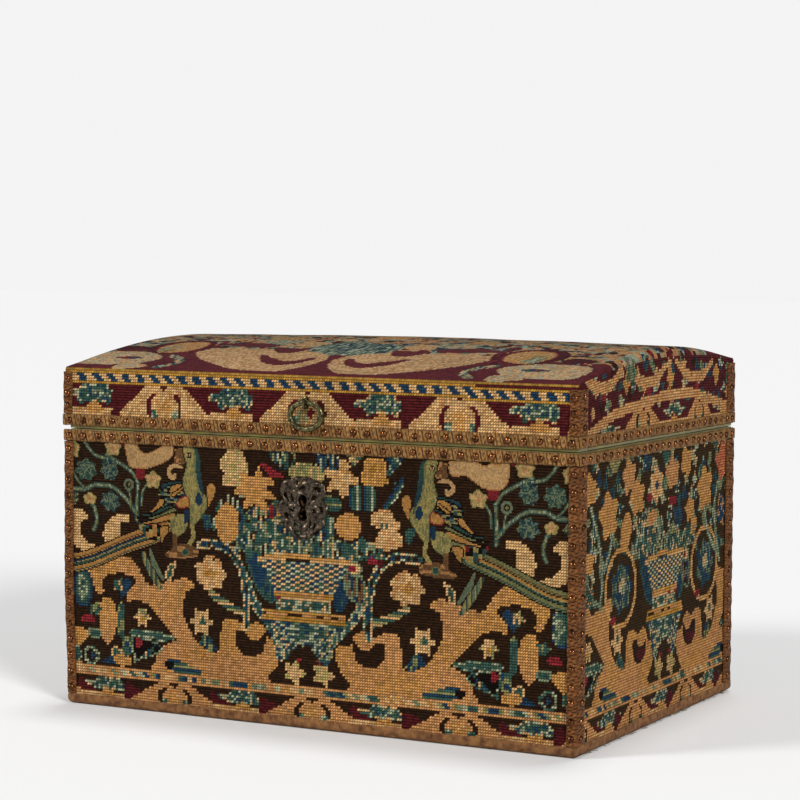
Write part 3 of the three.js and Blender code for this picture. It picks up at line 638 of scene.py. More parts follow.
def parrot(pen):
    """A parrot on each side, looking outwards, with its long tail falling to the corner."""
    for pen in pen._replace(petit=True).sides(right=-4.5):
        side, middle = ("moss", "apricot") if pen.sx < 0 else ("apricot", "blue")
        for offset, width, name in (
                (4.2, 5, "black"), (-4.2, 5, "black"), (0, 5, "black"), (4.2, 3.4, side),
                (-4.2, 3.4, side), (3.4, 0.8, "brown"), (-5, 0.8, "teal"), (0.9, 1.6, middle),
                (-1.2, 1.2, "teal"), (0, 0.7, "sage")):
            path = [(x, z + offset * (0.4 + 0.6 * min(k, 1))) for k, (x, z) in enumerate(TAIL_LINE)]
            pen.stem(path, width, name)
        pen.area([(-126, 120), (-118, 121), (-108, 120), (-107, 114), (-113, 110), (-120, 112)],
                 mottled("sage apricot teal rose black", (2.6, 2.6)))
        pen.area(PARROT_BACK, shaded("blue", "teal", 138, 165))
        pen.area(PARROT_BODY, mottled("sage sage moss sage", (0.9, 2.6)), edge="moss")
        pen.area([(-81, 142), (-77, 142.5), (-76.5, 137), (-80, 134), (-82.5, 137)], "blue")
        pen.area(PARROT_BEAK, tufted("brown", "tan"), edge="earth")
        pen.area(WING_SHADE, mottled("teal black mist blue sage black", (2.6, 0.9)))
        pen.area(WING_TOP, shaded("blue", "teal", 143, 149), edge="black")
        pen.area(WING_LEAF, "apricot", edge="black")
        pen.stem([(-100, 140.5), (-96, 143), (-93, 145)], 0.9, "black")
        pen.area(WING_COVERT, "apricot", edge="rose")
        for outline, name in FEATHERS:
            pen.area(outline, name, edge="black")
        pen.area(PARROT_BELLY, mottled("sage sage moss", (0.9, 2.6)))
        pen.area([(-91, 130), (-87.5, 130), (-88, 124), (-91, 122.5)], "blue")
        pen.area(FLANK_LEAF, "apricot", edge="black")
        pen.area(THROAT_LEAF, "cream")
        pen.area([(-77.5, 128), (-72, 128), (-70.5, 121), (-75, 119.5)], "blue teal", petit=False)
        pen.stem([(-84, 168), (-83, 156), (-81, 147), (-77, 138), (-79, 130)], 1.2, "moss")
        pen.bloom(-88, 165.3, 2.3, 2.3, 1, "black")
        pen.bloom(-88, 165.3, 1.5, 1.5, 1, "cream")
        pen.bloom(-88, 165.3, 0.7, 0.7, 1, "black")
        pen.stem([(-98, 114), (-98, 108), (-99, 103)], 3, "brown")
        pen.stem([(-85, 120), (-84, 114), (-87, 109)], 3, "sage")
        pen.area([(-105, 102.5), (-100, 105), (-95, 108.5), (-88, 109), (-81, 106.5), (-81, 102),
                  (-87, 100.5), (-97, 99.5), (-104, 100)], mottled("brown tan brown", (6, 1.7)))
        pen.bloom(-90.5, 104, 3.4, 3, 1, "teal", edge="moss")
        pen.area(COMMA_LEAF, "apricot")
        pen.area([(-99, 97), (-96.5, 99), (-98, 92), (-101, 85), (-104.5, 86), (-104, 93)], "teal",
                 edge="cream", petit=False)
        pen.stem([(-122, 101), (-119, 95), (-113, 86), (-109, 80)], (3, 5, 3),
                 striped("mist sage teal", pitch=1.2))
        pen.stem([(-117, 104), (-114, 96), (-107, 86)], (1.5, 4, 2), "mist")


def vine(pen):
    """Curling stems with veined leaves and pale blossoms in both upper corners."""
    for pen in pen._replace(petit=True).sides():
        for path, width in (
                ([(-126.5, 122), (-126.5, 134), (-126, 146)], 3),
                ([(-126, 146), (-130, 152), (-137, 156.5), (-144, 160), (-150, 163)], 2.8),
                ([(-144, 160), (-150, 160.5), (-157, 162), (-161, 165), (-165, 170), (-168, 173)],
                 2.6),
                ([(-127, 126), (-131, 131), (-137, 137), (-146, 142.5), (-158, 143),
                  (-166, 140), (-178, 139.5)], 3.2),
                ([(-123, 132), (-122.5, 140), (-119, 146)], 1.8),
                ([(-131, 130), (-132, 138), (-134, 141)], 1.6),
                ([(-166, 141), (-171, 146), (-175, 153)], 2),
                ([(-161, 132), (-158, 126), (-157, 120), (-159, 114)], 3)):
            pen.stem(path, width, "teal")
            pen.stem(path, width * 0.5, mottled("mist moss celadon mist", (0.9, 2.6)))
        pen.hoop(-133, 144.5, 3, 1.7, "mist")
        pen.bloom(-133, 144.5, 1.2, 1.2, 1, "moss")
        for x, z, rx, rz, names in (
                (-164.5, 152.5, 8, 7.5, "teal mist teal"), (-147.5, 153.5, 7, 7.6, "blue teal mist"),
                (-147, 133, 8, 7, "teal blue mist"), (-174.5, 134, 5, 5, "moss sage teal")):
            pen.bloom(x, z, rx, rz, 7, mottled(names + " teal", (0.9, 0.9), 5), depth=0.12, turn=0.6)
            for turn in np.arange(5) * 1.257 + 0.6:
                tip = x + pen.sx * rx * 0.8 * math.cos(turn), z + rz * 0.8 * math.sin(turn)
                pen.stem([(x, z), tip], 0.9, "mist", steps=2)
        for x, z, rx, rz in ((-145, 167.5, 6.3, 5.8), (-114.5, 148.5, 6.3, 6),
                             (-173, 165.5, 4.4, 6), (-162, 134, 5, 4)):
            pen.bloom(x, z, rx, rz, 5, tufted("cream", "sage"), edge="sage", depth=0.12, turn=0.3)
            pen.bloom(x, z, 1.4, 1.4, 3, "tan")
        pen.area([(-127.5, 155), (-121.5, 155), (-121, 149.5), (-127, 149)], "rose")
        pen.area([(-140, 174), (-135.5, 174), (-136, 169.5), (-139.5, 170)], "rose")
        for outline in (
                [(-179, 121), (-176, 126), (-170, 127.5), (-165, 125), (-164, 121), (-168, 117.5),
                 (-168, 111), (-165, 107), (-160, 104.5), (-155, 103.5), (-155, 101),
                 (-162, 99.5), (-170, 101.5), (-176, 107), (-179, 114)],
                [(-152.5, 111), (-151, 117), (-147, 122), (-142, 124.5), (-138, 126),
                 (-133.5, 124.5), (-133, 121), (-139.5, 119), (-140, 114), (-139, 108.5),
                 (-146.5, 104.5), (-150.5, 105)]):
            pen.area(outline, "cream", petit=False)


BANNERS = (
    [(-135.5, 175), (-126.5, 175), (-125.5, 169), (-122, 165.5), (-115, 166.5), (-107, 170.5),
     (-101, 174), (-99, 168), (-101.5, 162.5), (-106, 160), (-113, 157.2), (-121, 155),
     (-131, 155.5), (-134.5, 161)],
    [(94.5, 169), (100, 171), (105, 172.3), (113, 171), (119, 168.6), (126, 171.5), (134, 173),
     (134.8, 162), (130, 155), (119, 154.8), (112, 158.5), (106, 161.8), (97, 161.5)],
)


STAR = [(-36, 161.5), (-33.5, 154), (-27, 153.5), (-25.5, 150), (-32, 147.5), (-25, 143.5),
        (-25.5, 140.5), (-32, 140), (-29.5, 134.5), (-32, 133), (-40, 136.5), (-46.5, 133.5),
        (-48.5, 135.5), (-46, 141), (-54, 142), (-54, 145.5), (-48.5, 149), (-50.5, 155),
        (-47, 156.5), (-40, 153.5), (-38.5, 158)]
LEFT_BLOOM = [(-58, 172), (-50, 171.5), (-47, 166), (-44.5, 160), (-46, 154), (-49, 149),
              (-54, 147), (-60, 147), (-63.5, 150), (-62, 156), (-65, 160), (-64, 165), (-60, 168)]
POINTED_BLOOM = [(23, 168), (28, 164.5), (28, 160.5), (34.5, 156), (33, 152), (27, 152),
                 (26.5, 146), (22, 145), (19, 150), (13, 147), (12, 150.5), (15, 155),
                 (10, 158.5), (11.5, 162), (19, 161), (20, 166.5)]
SQUARE_BLOOM = [(39, 169.5), (50, 169.5), (53.5, 166), (52.5, 160), (55, 156.5), (50, 152.5),
                (42, 152), (36.5, 154), (35, 159), (38, 163)]
RIGHT_BLOOM = [(47, 138), (56, 138.5), (59, 134), (63.5, 130), (61.5, 126), (65.5, 120),
               (61, 115.5), (54, 114), (48, 115.5), (46, 121), (49, 126), (43.5, 129), (43, 134)]


def bouquet(pen):
    """The blooms and leaves over the urn."""
    leaves = (
        ([(-29, 173), (-12, 173.5), (-10, 168), (-14, 161), (-20, 159.5), (-26, 164), (-29, 168)],
         "moss teal blue celadon teal earth"),
        ([(3, 170), (9, 172.5), (18, 172), (20.5, 165), (18, 160.5), (12, 158.5), (6, 161),
          (2, 165)], "blue celadon teal blue earth"),
        ([(26, 173.5), (38, 173.5), (35, 168), (30, 164), (27, 168)],
         dotted("moss cream teal")),
        ([(53, 173.5), (67, 173.5), (63, 168), (58, 162), (53, 159.5), (54, 166)],
         striped("teal celadon blue teal", turn=0.6)),
        ([(26, 151), (46, 151.5), (48, 146), (47, 140), (40, 137), (30, 137.5), (25.5, 144)],
         striped("teal celadon teal earth blue teal")),
        ([(45, 136), (50, 141), (56, 150), (60, 158), (65, 158), (63, 150), (58, 143), (52, 137),
          (48, 133)], striped("celadon teal earth blue teal", turn=-0.6)),
        ([(9, 146), (15, 145), (22, 142), (22, 138), (15, 135), (10, 139)],
         striped("teal moss teal", turn=math.pi / 2)),
        ([(9, 134), (17, 131), (17, 122), (11, 119), (8, 126)],
         "teal celadon blue teal"),
        ([(-27, 139), (-22, 140), (-20, 132), (-24, 128), (-28, 132)], "moss teal blue"),
        ([(-62, 140), (-50, 145), (-46, 139), (-51, 133), (-50, 122), (-54, 113), (-66, 112),
          (-70, 128)], "earth teal earth celadon earth"),
    )
    for outline, wools in leaves:
        pen.area(outline, wools)
    pen.area([(-14, 162), (-8, 164), (3, 163.5), (8.5, 160), (9.5, 155), (2, 151), (-10, 152),
              (-15.5, 157)], "cream moss sage cream")
    for outline, name, other in ((LEFT_BLOOM, "cream", "sage"), (STAR, "apricot", "tan"),
                                 (POINTED_BLOOM, "cream", "apricot"),
                                 (SQUARE_BLOOM, "apricot", "gold"), (RIGHT_BLOOM, "cream", "tan")):
        pen.area(outline, tufted(name, other))
    pen.bloom(-59, 124, 8.7, 14, 2, tufted("apricot", "tan"), edge="apricot", depth=0.05)
    pen.stem([(-49.5, 134), (-48.5, 124), (-50, 113)], 2.2, "teal blue")
    pen.bloom(27, 127, 9.6, 9.2, 8, tufted("apricot", "tan"), depth=0.05)
    pen.bloom(52, 129, 3, 2.4, 3, "teal blue cream")
    pen.bloom(57, 119, 4, 3, 3, "tan")
    pen.bloom(-22.5, 134, 3.2, 5, 1, "apricot")
    pen.area([(-35.5, 162.5), (-30, 161.5), (-20, 156), (-21, 153.5), (-29, 155)], "rose")
    pen.bar(-29, -25, 129.5, 138, "rose")
    pen.area([(-55, 164), (-53, 158), (-57, 152), (-56, 158)], "sage")
    pen.bloom(45, 107, 5, 2.6, 3, "rose")
    pen.bar(47, 51, 103, 108, "burgundy")


def front_chart(pen):
    """Birds, vines and a filled urn on a dark ground, over the scrolls and the border."""
    vine(pen)
    for outline in BANNERS:
        pen.area(outline, "cream", petit=True, edge="tan")
    pen.bloom(126, 171.5, 5, 3, 1, "apricot", petit=True)
    scrollwork(pen)
    foliage(pen.shifted(-2))
    wreath(pen.shifted(-2))
    urn(pen.shifted(-4))
    bouquet(pen)
    parrot(pen)
    border(pen, 5.5, 14.5, 2.5, 100.5, "tan")
    check_stripe(pen.chart, lambda x: 23.3 + 0.4 * np.sin(x / 37), 7.4, 6.8, FADED, "tan")


def blooms(pen, rows):
    """Blooms given by their middle, half width, half height, petals and wool."""
    for x, z, rx, rz, count, name in rows:
        pen.bloom(x, z, rx, rz, count, tufted(name, "tan" if rx > 7 else "teal"),
                  depth=0.14 if count > 1 else 0.0, turn=0.5)
        if name in ("cream", "apricot") and rx > 7:
            pen.bloom(x, z, rx * 0.22, rz * 0.22, 4, "tan")


def strewn(pen, low, high, gap, kinds):
    """Leaves and small blooms on a staggered grid, each moved, turned and chosen by its place."""
    for j, z in enumerate(np.arange(low[1], high[1], gap)):
        for i, x in enumerate(np.arange(low[0], high[0], gap)):
            a, b, c = (float(speck(i, j, seed)) for seed in (1.0, 2.0, 3.0))
            names, count = kinds[int(c * len(kinds))]
            centre = x + gap * (a - 0.5 + 0.5 * (j % 2)), z + gap * 0.7 * (b - 0.5)
            radii = gap * (0.34 + 0.2 * b), gap * (0.34 + 0.2 * a)
            pen.bloom(*centre, *radii, count, mottled(names, (1.7, 3.4)), depth=0.22, turn=6 * a)


LEAVES = (("teal celadon blue", 3), ("mist moss teal", 2), ("blue teal", 3), ("celadon cream mist", 4))


def end_chart(pen):
    """The urn again, between tall stems of blooms."""
    strewn(pen, (-118, 106), (124, 176), 11.0, LEAVES)
    scrollwork(pen.shifted(12.5))
    foliage(pen.shifted(11))
    for x in (-61, 80):
        pen.bloom(x, 92, 24, 24, 1, "umber", laid=1.0)
        pen.hoop(x, 92, 23.5, 3.4, mottled("apricot cream apricot", (3.4, 3.4)))
        pen.bloom(x + 1, 92, 16.5, 16, 7, mottled("blue teal blue mist", (1.7, 3.4)), depth=0.1)
        pen.bloom(x + 2, 93, 6.5, 6, 5, "cream celadon mist")
        pen.bloom(x - 13, 73.5, 7, 2.4, 1, "rose")
    for x in (-29, 54):
        pen.bloom(x, 47.5, 9, 4.4, 1, "burgundy", laid=1.0)
    urn(pen.shifted(11))
    for path in ([(-92, 84), (-90, 102), (-95, 122), (-107, 144)],
                 [(-90, 104), (-82, 112), (-75, 124), (-73, 132)],
                 [(104, 96), (94, 104), (84, 116), (80, 128)],
                 [(108, 92), (100, 112), (99, 132), (106, 146)],
                 [(-92, 86), (-104, 88), (-112, 98), (-111, 112)], [(52, 134), (60, 126), (62, 114)]):
        pen.stem(path, 4.4, "mist teal mist")
        pen.stem(path, 1.8, "celadon mist")
    blooms(pen, ((-81, 138, 15, 15, 5, "apricot"), (-50, 159, 11, 12, 5, "tan"),
                 (-36, 145, 12, 12, 5, "apricot"), (-54, 125, 9, 15, 2, "apricot"),
                 (-5, 150, 12, 12, 6, "cream"), (22, 156, 12, 11, 5, "tan"),
                 (46, 161, 11, 10, 4, "apricot"), (80, 141, 14, 15, 5, "apricot"),
                 (114, 157, 15, 14, 5, "coral"), (53, 130, 9, 8, 5, "apricot"),
                 (60, 119, 6, 7, 3, "apricot"), (-12, 130, 9, 6, 2, "tan"),
                 (-110, 155, 11, 11, 5, "apricot"), (-72, 168, 9, 6, 3, "moss"),
                 (10, 167, 7, 5, 3, "teal"), (-20, 166, 6, 6, 3, "blue"), (100, 170, 9, 5, 3, "teal"),
                 (112, 124, 11, 12, 4, "blue"), (-110, 112, 8, 8, 4, "apricot"),
                 (34, 128, 7, 7, 5, "blue"), (-110, 92, 8, 8, 4, "teal")))
    pen.bloom(-5, 150, 3.5, 3, 1, "blue")
    pen.bloom(-17, 143, 6, 3, 1, "rose")
    pen.bloom(21, 138, 8, 4, 1, "rose")
    border(pen, 5.5, 14.5, -35, 85, "tan")
    check_stripe(pen.chart, lambda x: 23.3 + 0.4 * np.sin(x / 29), 7.4, 6.8, FADED, "tan")


def lid_front_chart(pen):
    """Hills and palmettes under a stripe of blue and cream checks."""
    border(pen, 186.5, 24.0, -2, 104)
    check_stripe(pen.chart, lambda x: np.interp(x, (-180, -100, 0, 100, 180),
                                                (212.9, 213.2, 212.7, 211.7, 210.4)), 8.5)
    pen.bloom(-1, 195, 9.5, 9, 6, "cream")
    pen.bloom(-3.5, 194.5, 5, 6, 4, "sage celadon cream")
    pen.bloom(0.5, 195, 3.2, 3, 4, "rose")


def lid_back_chart(pen):
    """Hills and palmettes under a stripe that waves."""
    border(pen, 186.5, 24.0, -2, 104)
    check_stripe(pen.chart, lambda x: 216.2 + 0.5 * np.sin(x / 29), 7.2)


def lid_end_chart(pen):
    """A plain stripe rises in a bow over hills and a palmette, with scrolls and leaves above it."""
    strewn(pen, (-120, 203), (126, 240), 10.0, LEAVES + (("cream tan", 5), ("burgundy earth", 1)))
    for centre in (-95, -24, 58):
        spot = pen.shifted(centre)
        spot.stem([(-34, 226), (-14, 217), (10, 215), (30, 224)], (4, 7, 7, 4), tufted("tan", "cream"))
        spot.bloom(38, 216, 6, 7, 4, "apricot")
        spot.bloom(2, 209, 5, 3, 1, "rose")
    pen.bloom(-50, 222, 10, 9, 5, "moss teal mist")
    hill(pen.shifted(-30, 186.5), 14.5, 30, "earth", "tan")
    hill(pen.shifted(66, 186.5), 14.5, 24, "earth", "tan")
    for x, z, height in ((22, 186.5, 14), (-86, 184.5, 8), (110, 186.5, 11)):
        palmette(pen.shifted(x, z), height)
    pen.stem([(-130, 184), (-113, 188), (-80, 197), (-47, 201), (-13, 204), (20, 205.5), (53, 204.7),
              (78, 200.5), (103, 196), (130, 189)], 6.4, tufted("tan", "cream"))


LID_SCROLL = [(-110, 46), (-98, 31), (-80, 19), (-60, 9), (-38, 6), (-23, 10), (-13, 22), (-9, 36),
              (-13, 48), (-24, 55), (-36, 59), (-58, 61), (-80, 62), (-98, 62), (-110, 56)]
LID_EYE = [(-59, 42), (-53, 31), (-44, 23), (-32, 21), (-22, 27), (-17, 38), (-21, 41), (-27, 33),
           (-36, 31), (-43, 35), (-50, 39), (-56, 45)]
LID_NOTCH = [(-61, 68), (-58, 57), (-51, 51), (-43, 52), (-38, 59), (-36, 69), (-48, 66)]
LID_BLOB = [(-182, 14), (-160, 10), (-136, 16), (-126, 28), (-136, 40), (-152, 46), (-172, 45),
            (-184, 38)]


def lid_top_chart(pen, depth):
    """Great cream scrolls along the front and back edges on wine red, and a field of blooms."""
    pen.bar(-400, 400, 52, depth - 52, mottled("burgundy tan celadon cream mist tan", (5.1, 5.1)))
    strewn(pen, (-186, 56), (190, depth - 50), 12.5, LEAVES + (
        ("cream cream tan", 5), ("cream apricot", 6), ("rose burgundy", 3), ("cream celadon", 5),
        ("apricot rose cream", 5), ("burgundy earth", 2)))
    for edge in (pen, pen._replace(z=depth, sz=-1.0)):
        edge.area([(-31, 54), (-25, 43), (-14, 46), (-6, 54), (2, 46), (13, 43), (20, 54), (24, 78),
                   (12, 92), (-22, 94), (-36, 78)], "teal blue mist celadon mist")
        for half in edge.sides(right=-12.0):
            def bloom(x, z, rx, rz, count, wools, rim=None):
                half.bloom(x, z, rx, rz, count, wools, 0.1 * (count > 1), edge=rim)
            half.area([(-112, 76), (-96, 70), (-70, 66), (-64, 76), (-86, 84)], "burgundy", laid=1.0)
            half.area(LID_SCROLL, tufted("cream", "tan"))
            half.area(LID_EYE, "burgundy", laid=1.0)
            half.area(LID_NOTCH, "burgundy", laid=1.0)
            half.area(LID_BLOB, tufted("cream", "celadon"))
            bloom(-138, 9, 13, 8, 3, tufted("cream", "celadon"))
            bloom(-150, 29, 10, 4, 4, "teal blue rose")
            bloom(-166, 58, 12, 9, 3, "burgundy")
            bloom(-133, 66, 22, 25, 1, "burgundy")
            bloom(-131, 64, 17, 21, 1, tufted("apricot", "cream"), "rose")
            bloom(-137, 56, 6, 13, 1, "moss celadon apricot")
            half.stem([(-120, 36), (-113, 50), (-108, 70), (-112, 88)], 5, "burgundy rose burgundy")
            half.stem([(-116, 8), (-108, 18), (-112, 28), (-122, 36)], 6, "celadon mist teal cream")
            bloom(-70, 92, 16, 12, 6, "celadon cream mist")
            bloom(-46, 84, 12, 11, 6, tufted("cream", "apricot"))
            bloom(-78, 112, 12, 10, 5, tufted("apricot", "cream"))
        edge.area([(-400, -1), (400, -1), (400, 1.7), (-400, 1.7)], "gold", sharp=True)
    pen.bloom(-6, depth / 2, 18, 15, 6, tufted("apricot", "cream"))


# Meshes

def grid_faces(rows, columns):
    """Quads over a grid of corners, row by row."""
    start = (np.arange(rows)[:, None] * (columns + 1) + np.arange(columns)).ravel()
    return np.stack([start, start + 1, start + columns + 2, start + columns + 1], 1)


def linked(name, data):
    """A new object in the scene."""
    item = bpy.data.objects.new(name, data)
    bpy.context.scene.collection.objects.link(item)
    return item


def reshaped(mesh, change):
    """Hands a mesh to a function as a bmesh, and takes it back."""
    shape = bmesh.new()
    shape.from_mesh(mesh)
    change(shape)
    shape.to_mesh(mesh)
    shape.free()


def mesh_piece(name, points, faces, key):
    """A new object from corners in millimetres and faces, in a finish."""
    mesh = bpy.data.meshes.new(name)
    mesh.from_pydata((leaned(points) * MM).reshape(-1, 3).tolist(), [], [list(f) for f in faces])
    mesh.polygons.foreach_set("use_smooth", np.ones(len(mesh.polygons), bool))
    mesh.update()
    mesh.materials.append(material_for(key))
    return linked(name, mesh)


def placed(piece, body, slot, *nodes):
    """The piece rides on its body and stands for the nodes, which are hidden. The slot is not used."""
    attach(piece, body)
    if nodes:
        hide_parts(*nodes)
    return piece


def stretched(piece, *rests_on, flat=None, with_pieces=()):
    """Sorts a piece's spans, longest first; the piece is not declared as cloth. Its cut, if not
    given, is its longest sides. The nodes it rests on and its cut are not used.
    """
    spans = np.sort(np.ptp([v.co for v in piece.data.vertices], axis=0))[::-1]


def add_colours(piece, colours):
    """One colour for each corner of each face, in the order of the faces."""
    layer = piece.data.color_attributes.new("thread", "FLOAT_COLOR", "CORNER")
    filled = np.ones((colours.size // 3, 4), np.float32)
    filled[:, :3] = colours.reshape(-1, 3)
    layer.data.foreach_set("color", filled.ravel())


def needlework(name, node, points, faces, colours, places):
    """A piece of needlework, with a colour and a place on the map for each corner of each face."""
    piece = mesh_piece(name, points, faces, "wool")
    add_colours(piece, colours)
    layer = piece.data.uv_layers.new(name="OFBake")
    layer.uv.foreach_set("vector", places.astype(np.float32).ravel())
    return placed(piece, "lid" if node.startswith("lid") else "case", "needlework", node)


def smooth_noise(a, b, seed):
    """A slow swelling from -1 to 1: a sum of crossed sines."""
    return (np.sin(a / 31 + seed) * np.cos(b / 27 - 2 * seed)
            + 0.6 * np.sin(a / 13 - b / 17 + 3 * seed) + 0.4 * np.cos(a / 9 + b / 11 + seed)) / 2


# Painted shade of a stitch at its nine places, rows from foot to top: a painted highlight on the
# crown and painted shade in the furrows between stitches and rows; the thread slants up to the right
BEAD_PAINTED_SHADE = np.array([[0.46, 0.2, 0.05], [0.56, 1.66, 0.56], [0.05, 0.2, 0.46]])
RIDGE_PAINTED_SHADE = np.array([[0.2, 0.14, 0.14], [1.1, 1.3, 1.1], [0.14, 0.14, 0.2]])
SMALL_PAINTED_SHADE = np.array([[0.66, 0.36], [0.36, 0.66]])


def painted_stitch_shades(chart):
    """The painted shade of every half stitch's four corners, by its place in the whole stitch:
    a painted highlight on the crown and painted shade in the furrows.
    """
    row = np.arange(chart.rows)[:, None] % 2
    column = np.arange(chart.columns)[None, :] % 2
    shades = []
    for up, across in ((0, 0), (0, 1), (1, 1), (1, 0)):
        bead = BEAD_PAINTED_SHADE[row + up, column + across]
        ridge = RIDGE_PAINTED_SHADE[row + up, column + across]
        whole = bead + (ridge - bead) * chart.laid
        shades.append(np.where(chart.petit, SMALL_PAINTED_SHADE[up, across], whole))
    return np.stack(shades, -1)


def stitch_rise(chart):
    """How far each corner stands out: crowns at the middle of stitches, furrows between rows."""
    rows, columns = chart.rows + 1, chart.columns + 1
    odd_row = (np.arange(rows) % 2 == 1)[:, None]
    odd_column = (np.arange(columns) % 2 == 1)[None, :]
    laid = np.pad((chart.laid[:, 1:] + chart.laid[:, :-1]) / 2, ((0, 1), (1, 1)), mode="edge")
    rise = np.where(odd_row, np.where(odd_column, 1.0, 0.3 + 0.7 * laid), 0.0)
    petit = np.pad(chart.petit, ((0, 1), (0, 1)), mode="edge")
    checker = np.where((np.arange(rows)[:, None] + np.arange(columns)) % 2, 0.75, 0.5)
    rise = np.where(petit, checker, rise)
    rise[0] = rise[-1] = 0
    rise[:, 0] = rise[:, -1] = 0
    return rise


def unit_grid(rows, columns):
    """A place on the map for every corner of a grid."""
    return np.stack(np.meshgrid(np.linspace(0, 1, columns + 1), np.linspace(0, 1, rows + 1)),
                    -1).reshape(-1, 2)


def worked(chart, points, outward, turned, holes=None):
    """A panel pushed out by each stitch's crown: its corners, its faces, and the colour and the
    place on the map of each face's corners."""
    rise = stitch_rise(chart) * size_of("stitch_rise") / MM
    points = points + outward * rise[..., None]
    faces = grid_faces(chart.rows, chart.columns)
    # Each corner's colour is its stitch's wool times a painted shade: highlight on the crown, shade in
    # the furrows
    colours = (chart.worn()[:, :, None, :] * painted_stitch_shades(chart)[..., None]).reshape(-1, 4, 3)
    if turned:
        faces, colours = faces[:, ::-1], colours[:, ::-1]
    if holes is not None:
        faces, colours = faces[~holes.ravel()], colours[~holes.ravel()]
    return (points.reshape(-1, 3), faces, colours.reshape(-1, 3),
            unit_grid(chart.rows, chart.columns)[faces].reshape(-1, 2))


def boundary_of(faces):
    """Edges that only one face has, as that face runs along them."""
    ahead = np.stack([faces, np.roll(faces, -1, 1)], -1).reshape(-1, 2)
    key = ahead.min(1).astype(np.int64) * (faces.max() + 1) + ahead.max(1)
    _, first, count = np.unique(key, return_index=True, return_counts=True)
    return ahead[first[count == 1]]


def backed(points, faces, push, flat):
    """Walls round a sheet's edges and a back over them, so that the panel is closed."""
    edges = boundary_of(faces)
    used, at = np.unique(edges, return_inverse=True)
    at = at.reshape(-1, 2)
    behind = points[used] + push
    new = at + len(points)
    walls = np.stack([edges[:, 1], edges[:, 0], new[:, 0], new[:, 1]], 1)
    plane = [Vector(p) for p in behind[:, flat] * MM]
    corners, _, back, *_ = delaunay_2d_cdt(plane, at.tolist(), [], 1, 1e-9)
    if len(corners) != len(plane):
        raise RuntimeError("the back's corners don't match the edge's")
    back = np.array(back)
    a, b, c = np.moveaxis(behind[back], 1, 0)
    inwards = np.cross(b - a, c - a) @ push <= 0
    back[inwards] = back[inwards][:, [0, 2, 1]]
    return np.vstack([points, behind]), walls, back + len(points)


# Materials

def add_node(tree, kind, inputs=None, links=None, into=None, **values):
    """A node with its settings, the values of its sockets, what they are linked to and the socket
    that its first output goes into."""
    node = tree.nodes.new(kind)
    for key, value in values.items():
        setattr(node, key, value)
    for key, value in (inputs or {}).items():
        node.inputs[key].default_value = value
    for key, source in (links or {}).items():
        tree.links.new(source, node.inputs[key])
    if into:
        tree.links.new(node.outputs[0], into)
    return node


def new_material(name, finish):
    material = bpy.data.materials.new(name)
    material.use_nodes = True
    tree = material.node_tree
    tree.nodes.clear()
    shader = add_node(tree, "ShaderNodeBsdfPrincipled")
    add_node(tree, "ShaderNodeOutputMaterial", links={"Surface": shader.outputs[0]})
    finish(tree, shader)
    return material


def set_shader(shader, **values):
    for key, value in values.items():
        shader.inputs[key.replace("_", " ")].default_value = value


def object_noise(tree, millimetres, detail=3.0, rough=0.55, stretch=(1, 1, 1)):
    """Noise on Object coordinates, with features of a size."""
    place = add_node(tree, "ShaderNodeTexCoord").outputs["Object"]
    mapping = add_node(tree, "ShaderNodeMapping", {"Scale": stretch}, {"Vector": place})
    return add_node(tree, "ShaderNodeTexNoise",
                    {"Scale": 1 / (millimetres * MM), "Detail": detail, "Roughness": rough},
                    {"Vector": mapping.outputs[0]}).outputs[0]


def dyed(tree, shader, millimetres, detail, window, shades):
    """The colour painted on each stitch or thread, its painted shade and highlight included, broken up
    by fibres of a size.
    """
    thread = add_node(tree, "ShaderNodeVertexColor", layer_name="thread")
    fibre = object_noise(tree, millimetres, detail)
    tone = add_node(tree, "ShaderNodeMapRange",
                    {"From Min": window[0], "From Max": window[1], "To Min": shades[0],
                     "To Max": shades[1]}, {"Value": fibre})
    add_node(tree, "ShaderNodeVectorMath", links={0: thread.outputs["Color"], 3: tone.outputs[0]},
             into=shader.inputs["Base Color"], operation="SCALE")
    return fibre


def two_tone(tree, shader, low, high, millimetres, stretch=(1, 1, 1), detail=4.0):
    """A colour that drifts between two with the noise, which it returns."""
    noise = object_noise(tree, millimetres, detail, 0.6, stretch)
    ramp = add_node(tree, "ShaderNodeValToRGB", links={0: noise}, into=shader.inputs["Base Color"])
    for stop, place, colour in zip(ramp.color_ramp.elements, (0.35, 0.65), (low, high)):
        stop.position, stop.color = place, (*linear(colour), 1)
    return noise


def worn_wool(tree, shader):
    """Crewel wool on linen canvas, hand-stitched: matt, with a halo of loose fibres.

    The colour is each stitch's own wool with its painted shade and highlight, and fibres 0.25 mm apart
    break it up."""
    fibre = dyed(tree, shader, 0.5, 2.0, (0.25, 0.75), (0.78, 1.2))
    set_shader(shader, Roughness=0.95, Sheen_Weight=0.02, Sheen_Roughness=0.5,
               Specular_IOR_Level=0.04)
    add_node(tree, "ShaderNodeBump", {"Strength": 0.5, "Distance": 0.25 * MM}, {"Height": fibre},
             shader.inputs["Normal"])


def galloon(tree, shader):
    """Plaited silk and linen braid, tan with age: threads 0.6 mm apart, with a painted highlight on the
    ridges and painted shade in the plait.
    """
    fibre = dyed(tree, shader, 0.6, 3.0, (0.3, 0.7), (0.65, 1.3))
    set_shader(shader, Roughness=0.8, Sheen_Weight=0.03, Specular_IOR_Level=0.1)
    add_node(tree, "ShaderNodeBump", {"Strength": 0.6, "Distance": 0.3 * MM}, {"Height": fibre},
             shader.inputs["Normal"])


def oak_wood(tree, shader):
    """Oak board, planed and waxed: grain runs along X, with pores every millimetre or so."""
    noise = two_tone(tree, shader, "#5a3c22", "#8c6540", 3, (0.06, 1, 1), 6.0)
    set_shader(shader, Roughness=0.62, Specular_IOR_Level=0.4)
    add_node(tree, "ShaderNodeBump", {"Strength": 0.4, "Distance": 0.3 * MM}, {"Height": noise},
             shader.inputs["Normal"])


WAVES = 0.32  # a wave texture of scale 1 repeats about every 0.32 m


